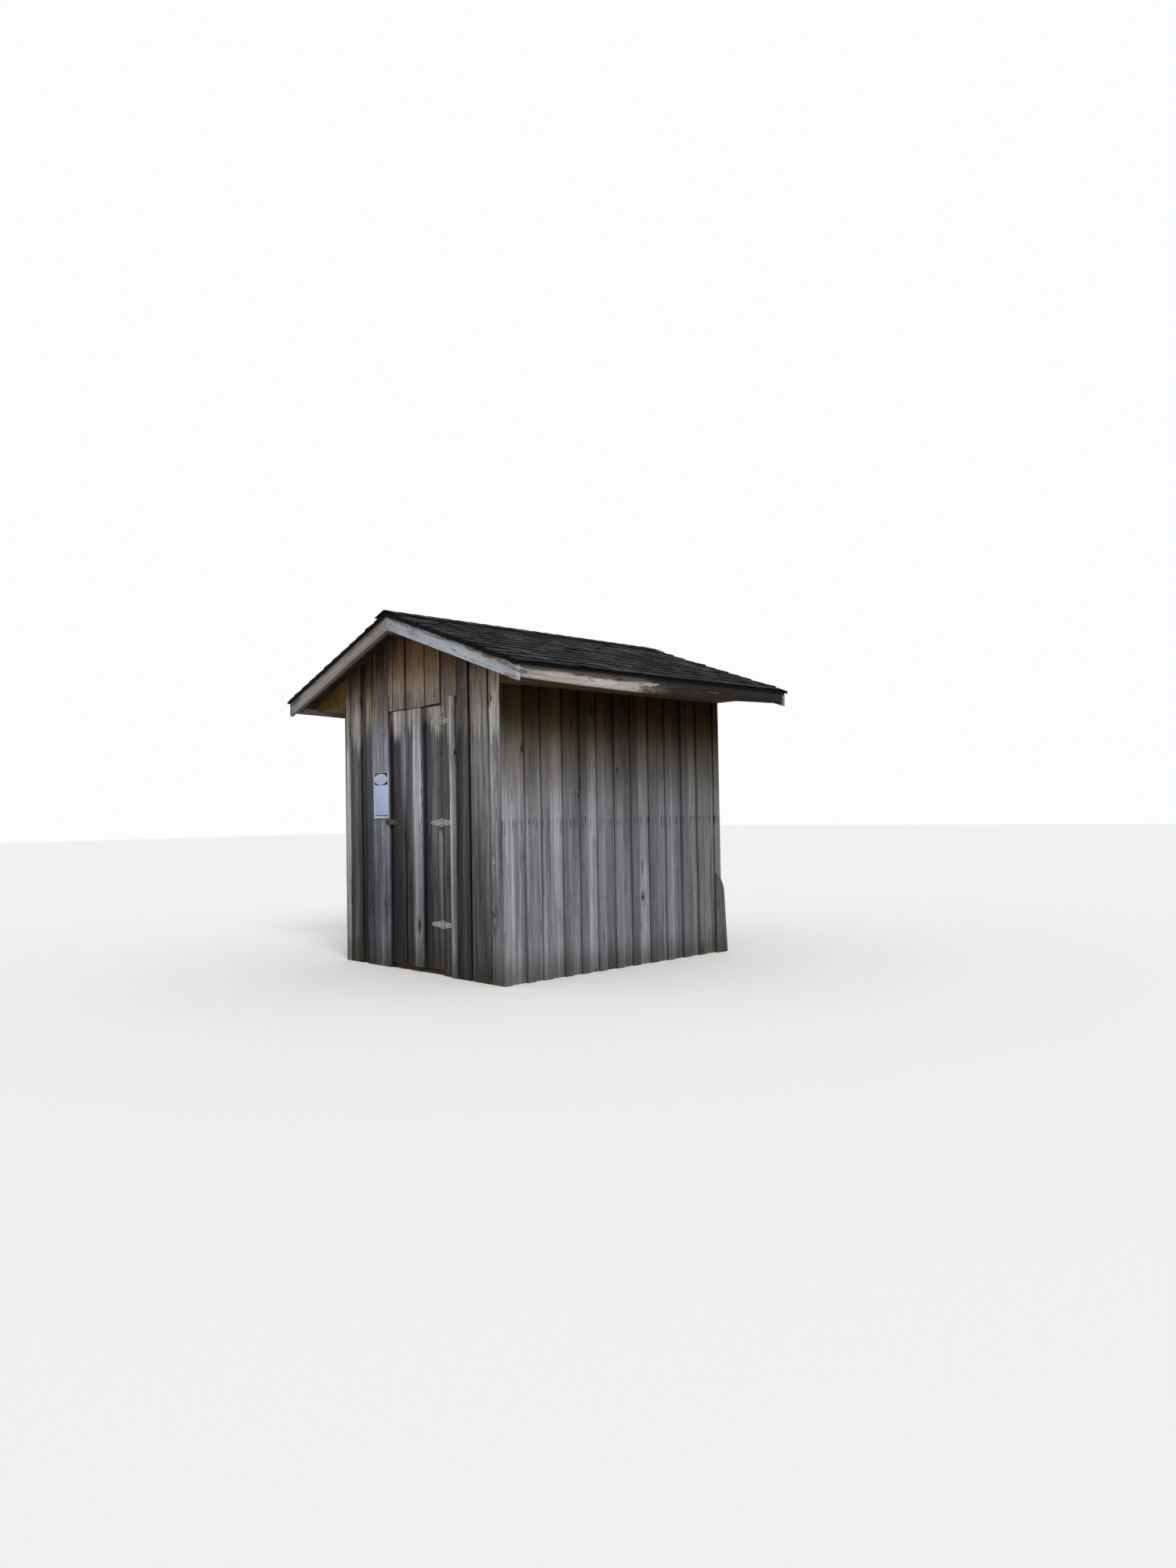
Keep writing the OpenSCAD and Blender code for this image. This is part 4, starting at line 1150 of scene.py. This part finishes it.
AXIS_X = (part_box("hinge_wall_leaves")[0].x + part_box("hinge_door_leaves")[1].x) / 2
LEAF_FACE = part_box("door_boards")[0].y - LEAF_T
for body_name, side, tip_screw in (("building", 1, 0.108), ("door", -1, 0.134)):
    places = ((0.025, 0.017), (0.025, -0.017), (tip_screw * 0.62, 0.0), (tip_screw, 0.0))
    spots = [Vector((AXIS_X + side * along, LEAF_FACE - SINK, z + off))
             for z in HINGE_ZS for along, off in places]
    screw_heads(spots, FRONT, HINGE_SCREW_R, body_name + "_hinge_screws", body_name)

# Stage, lights and camera
FLOOR_SIZE = 60.0
FLOOR_COLOUR = (0.80, 0.80, 0.79, 1.0)
BOUNCE_COLOUR = (0.30, 0.30, 0.29, 1.0)
SKY_COLOUR = (0.97, 0.98, 1.0, 1.0)
SKY_ON_OBJECT, SKY_SEEN = 0.78, 1.0
CAMERA_PLACE = Vector((6.840, -5.904, 1.226))
CAMERA_YAW, CAMERA_PITCH, CAMERA_ROLL = 46.3468, 90 + 1.5611, -0.9478
CAMERA_LENS = 23.89
CAMERA_SENSOR = 36.0


def seen_directly(nodes):
    """One for camera, mirror and glass rays, and zero for rays that only carry light."""
    rays = nodes.node("LightPath").outputs
    seen = rays["Is Camera Ray"]
    for name in ("Is Glossy Ray", "Is Transmission Ray"):
        seen = nodes.math("MAXIMUM", seen, rays[name])
    return seen


def lay_floor():
    bm = bmesh.new()
    bmesh.ops.create_grid(bm, x_segments=1, y_segments=1, size=FLOOR_SIZE)
    f = Finish("floor")
    colour = f.mix(seen_directly(f), BOUNCE_COLOUR, FLOOR_COLOUR)
    gather([bm], "floor", f.finish(colour, 1.0, specular=0.0))


def light_world():
    world = bpy.data.worlds.new("studio")
    bpy.context.scene.world = world
    sky = Nodes(world)
    background = sky.tree.nodes["Background"].inputs
    strength = {"Value": seen_directly(sky), "To Min": SKY_ON_OBJECT, "To Max": SKY_SEEN}
    sky.put(background["Color"], SKY_COLOUR)
    sky.put(background["Strength"], sky.node("MapRange", strength).outputs[0])


def soft_sun(towards, spread, strength, colour):
    """A wide sun that stands in the given direction."""
    light = bpy.data.lights.new("key", "SUN")
    light.angle = math.radians(spread)
    light.energy = strength
    light.color = colour
    lamp = bpy.data.objects.new("key", light)
    lamp.rotation_euler = Vector(towards).to_track_quat("Z", "Y").to_euler()
    bpy.context.scene.collection.objects.link(lamp)


def set_camera():
    """The camera stands off the front right corner, at about chest height, and looks slightly up."""
    camera = bpy.data.cameras.new("camera")
    camera.sensor_width = CAMERA_SENSOR
    camera.lens = CAMERA_LENS
    holder = bpy.data.objects.new("camera", camera)
    holder.matrix_world = Matrix.Translation(CAMERA_PLACE)
    for angle, axis in ((CAMERA_YAW, "Z"), (CAMERA_PITCH, "X"), (CAMERA_ROLL, "Z")):
        holder.matrix_world @= Matrix.Rotation(math.radians(angle), 4, axis)
    bpy.context.scene.collection.objects.link(holder)
    bpy.context.scene.camera = holder


lay_floor()
light_world()
soft_sun((0.80, -0.40, 0.62), 24, 1.9, (1.0, 0.98, 0.95))
set_camera()
bpy.context.scene.view_settings.view_transform = "Standard"
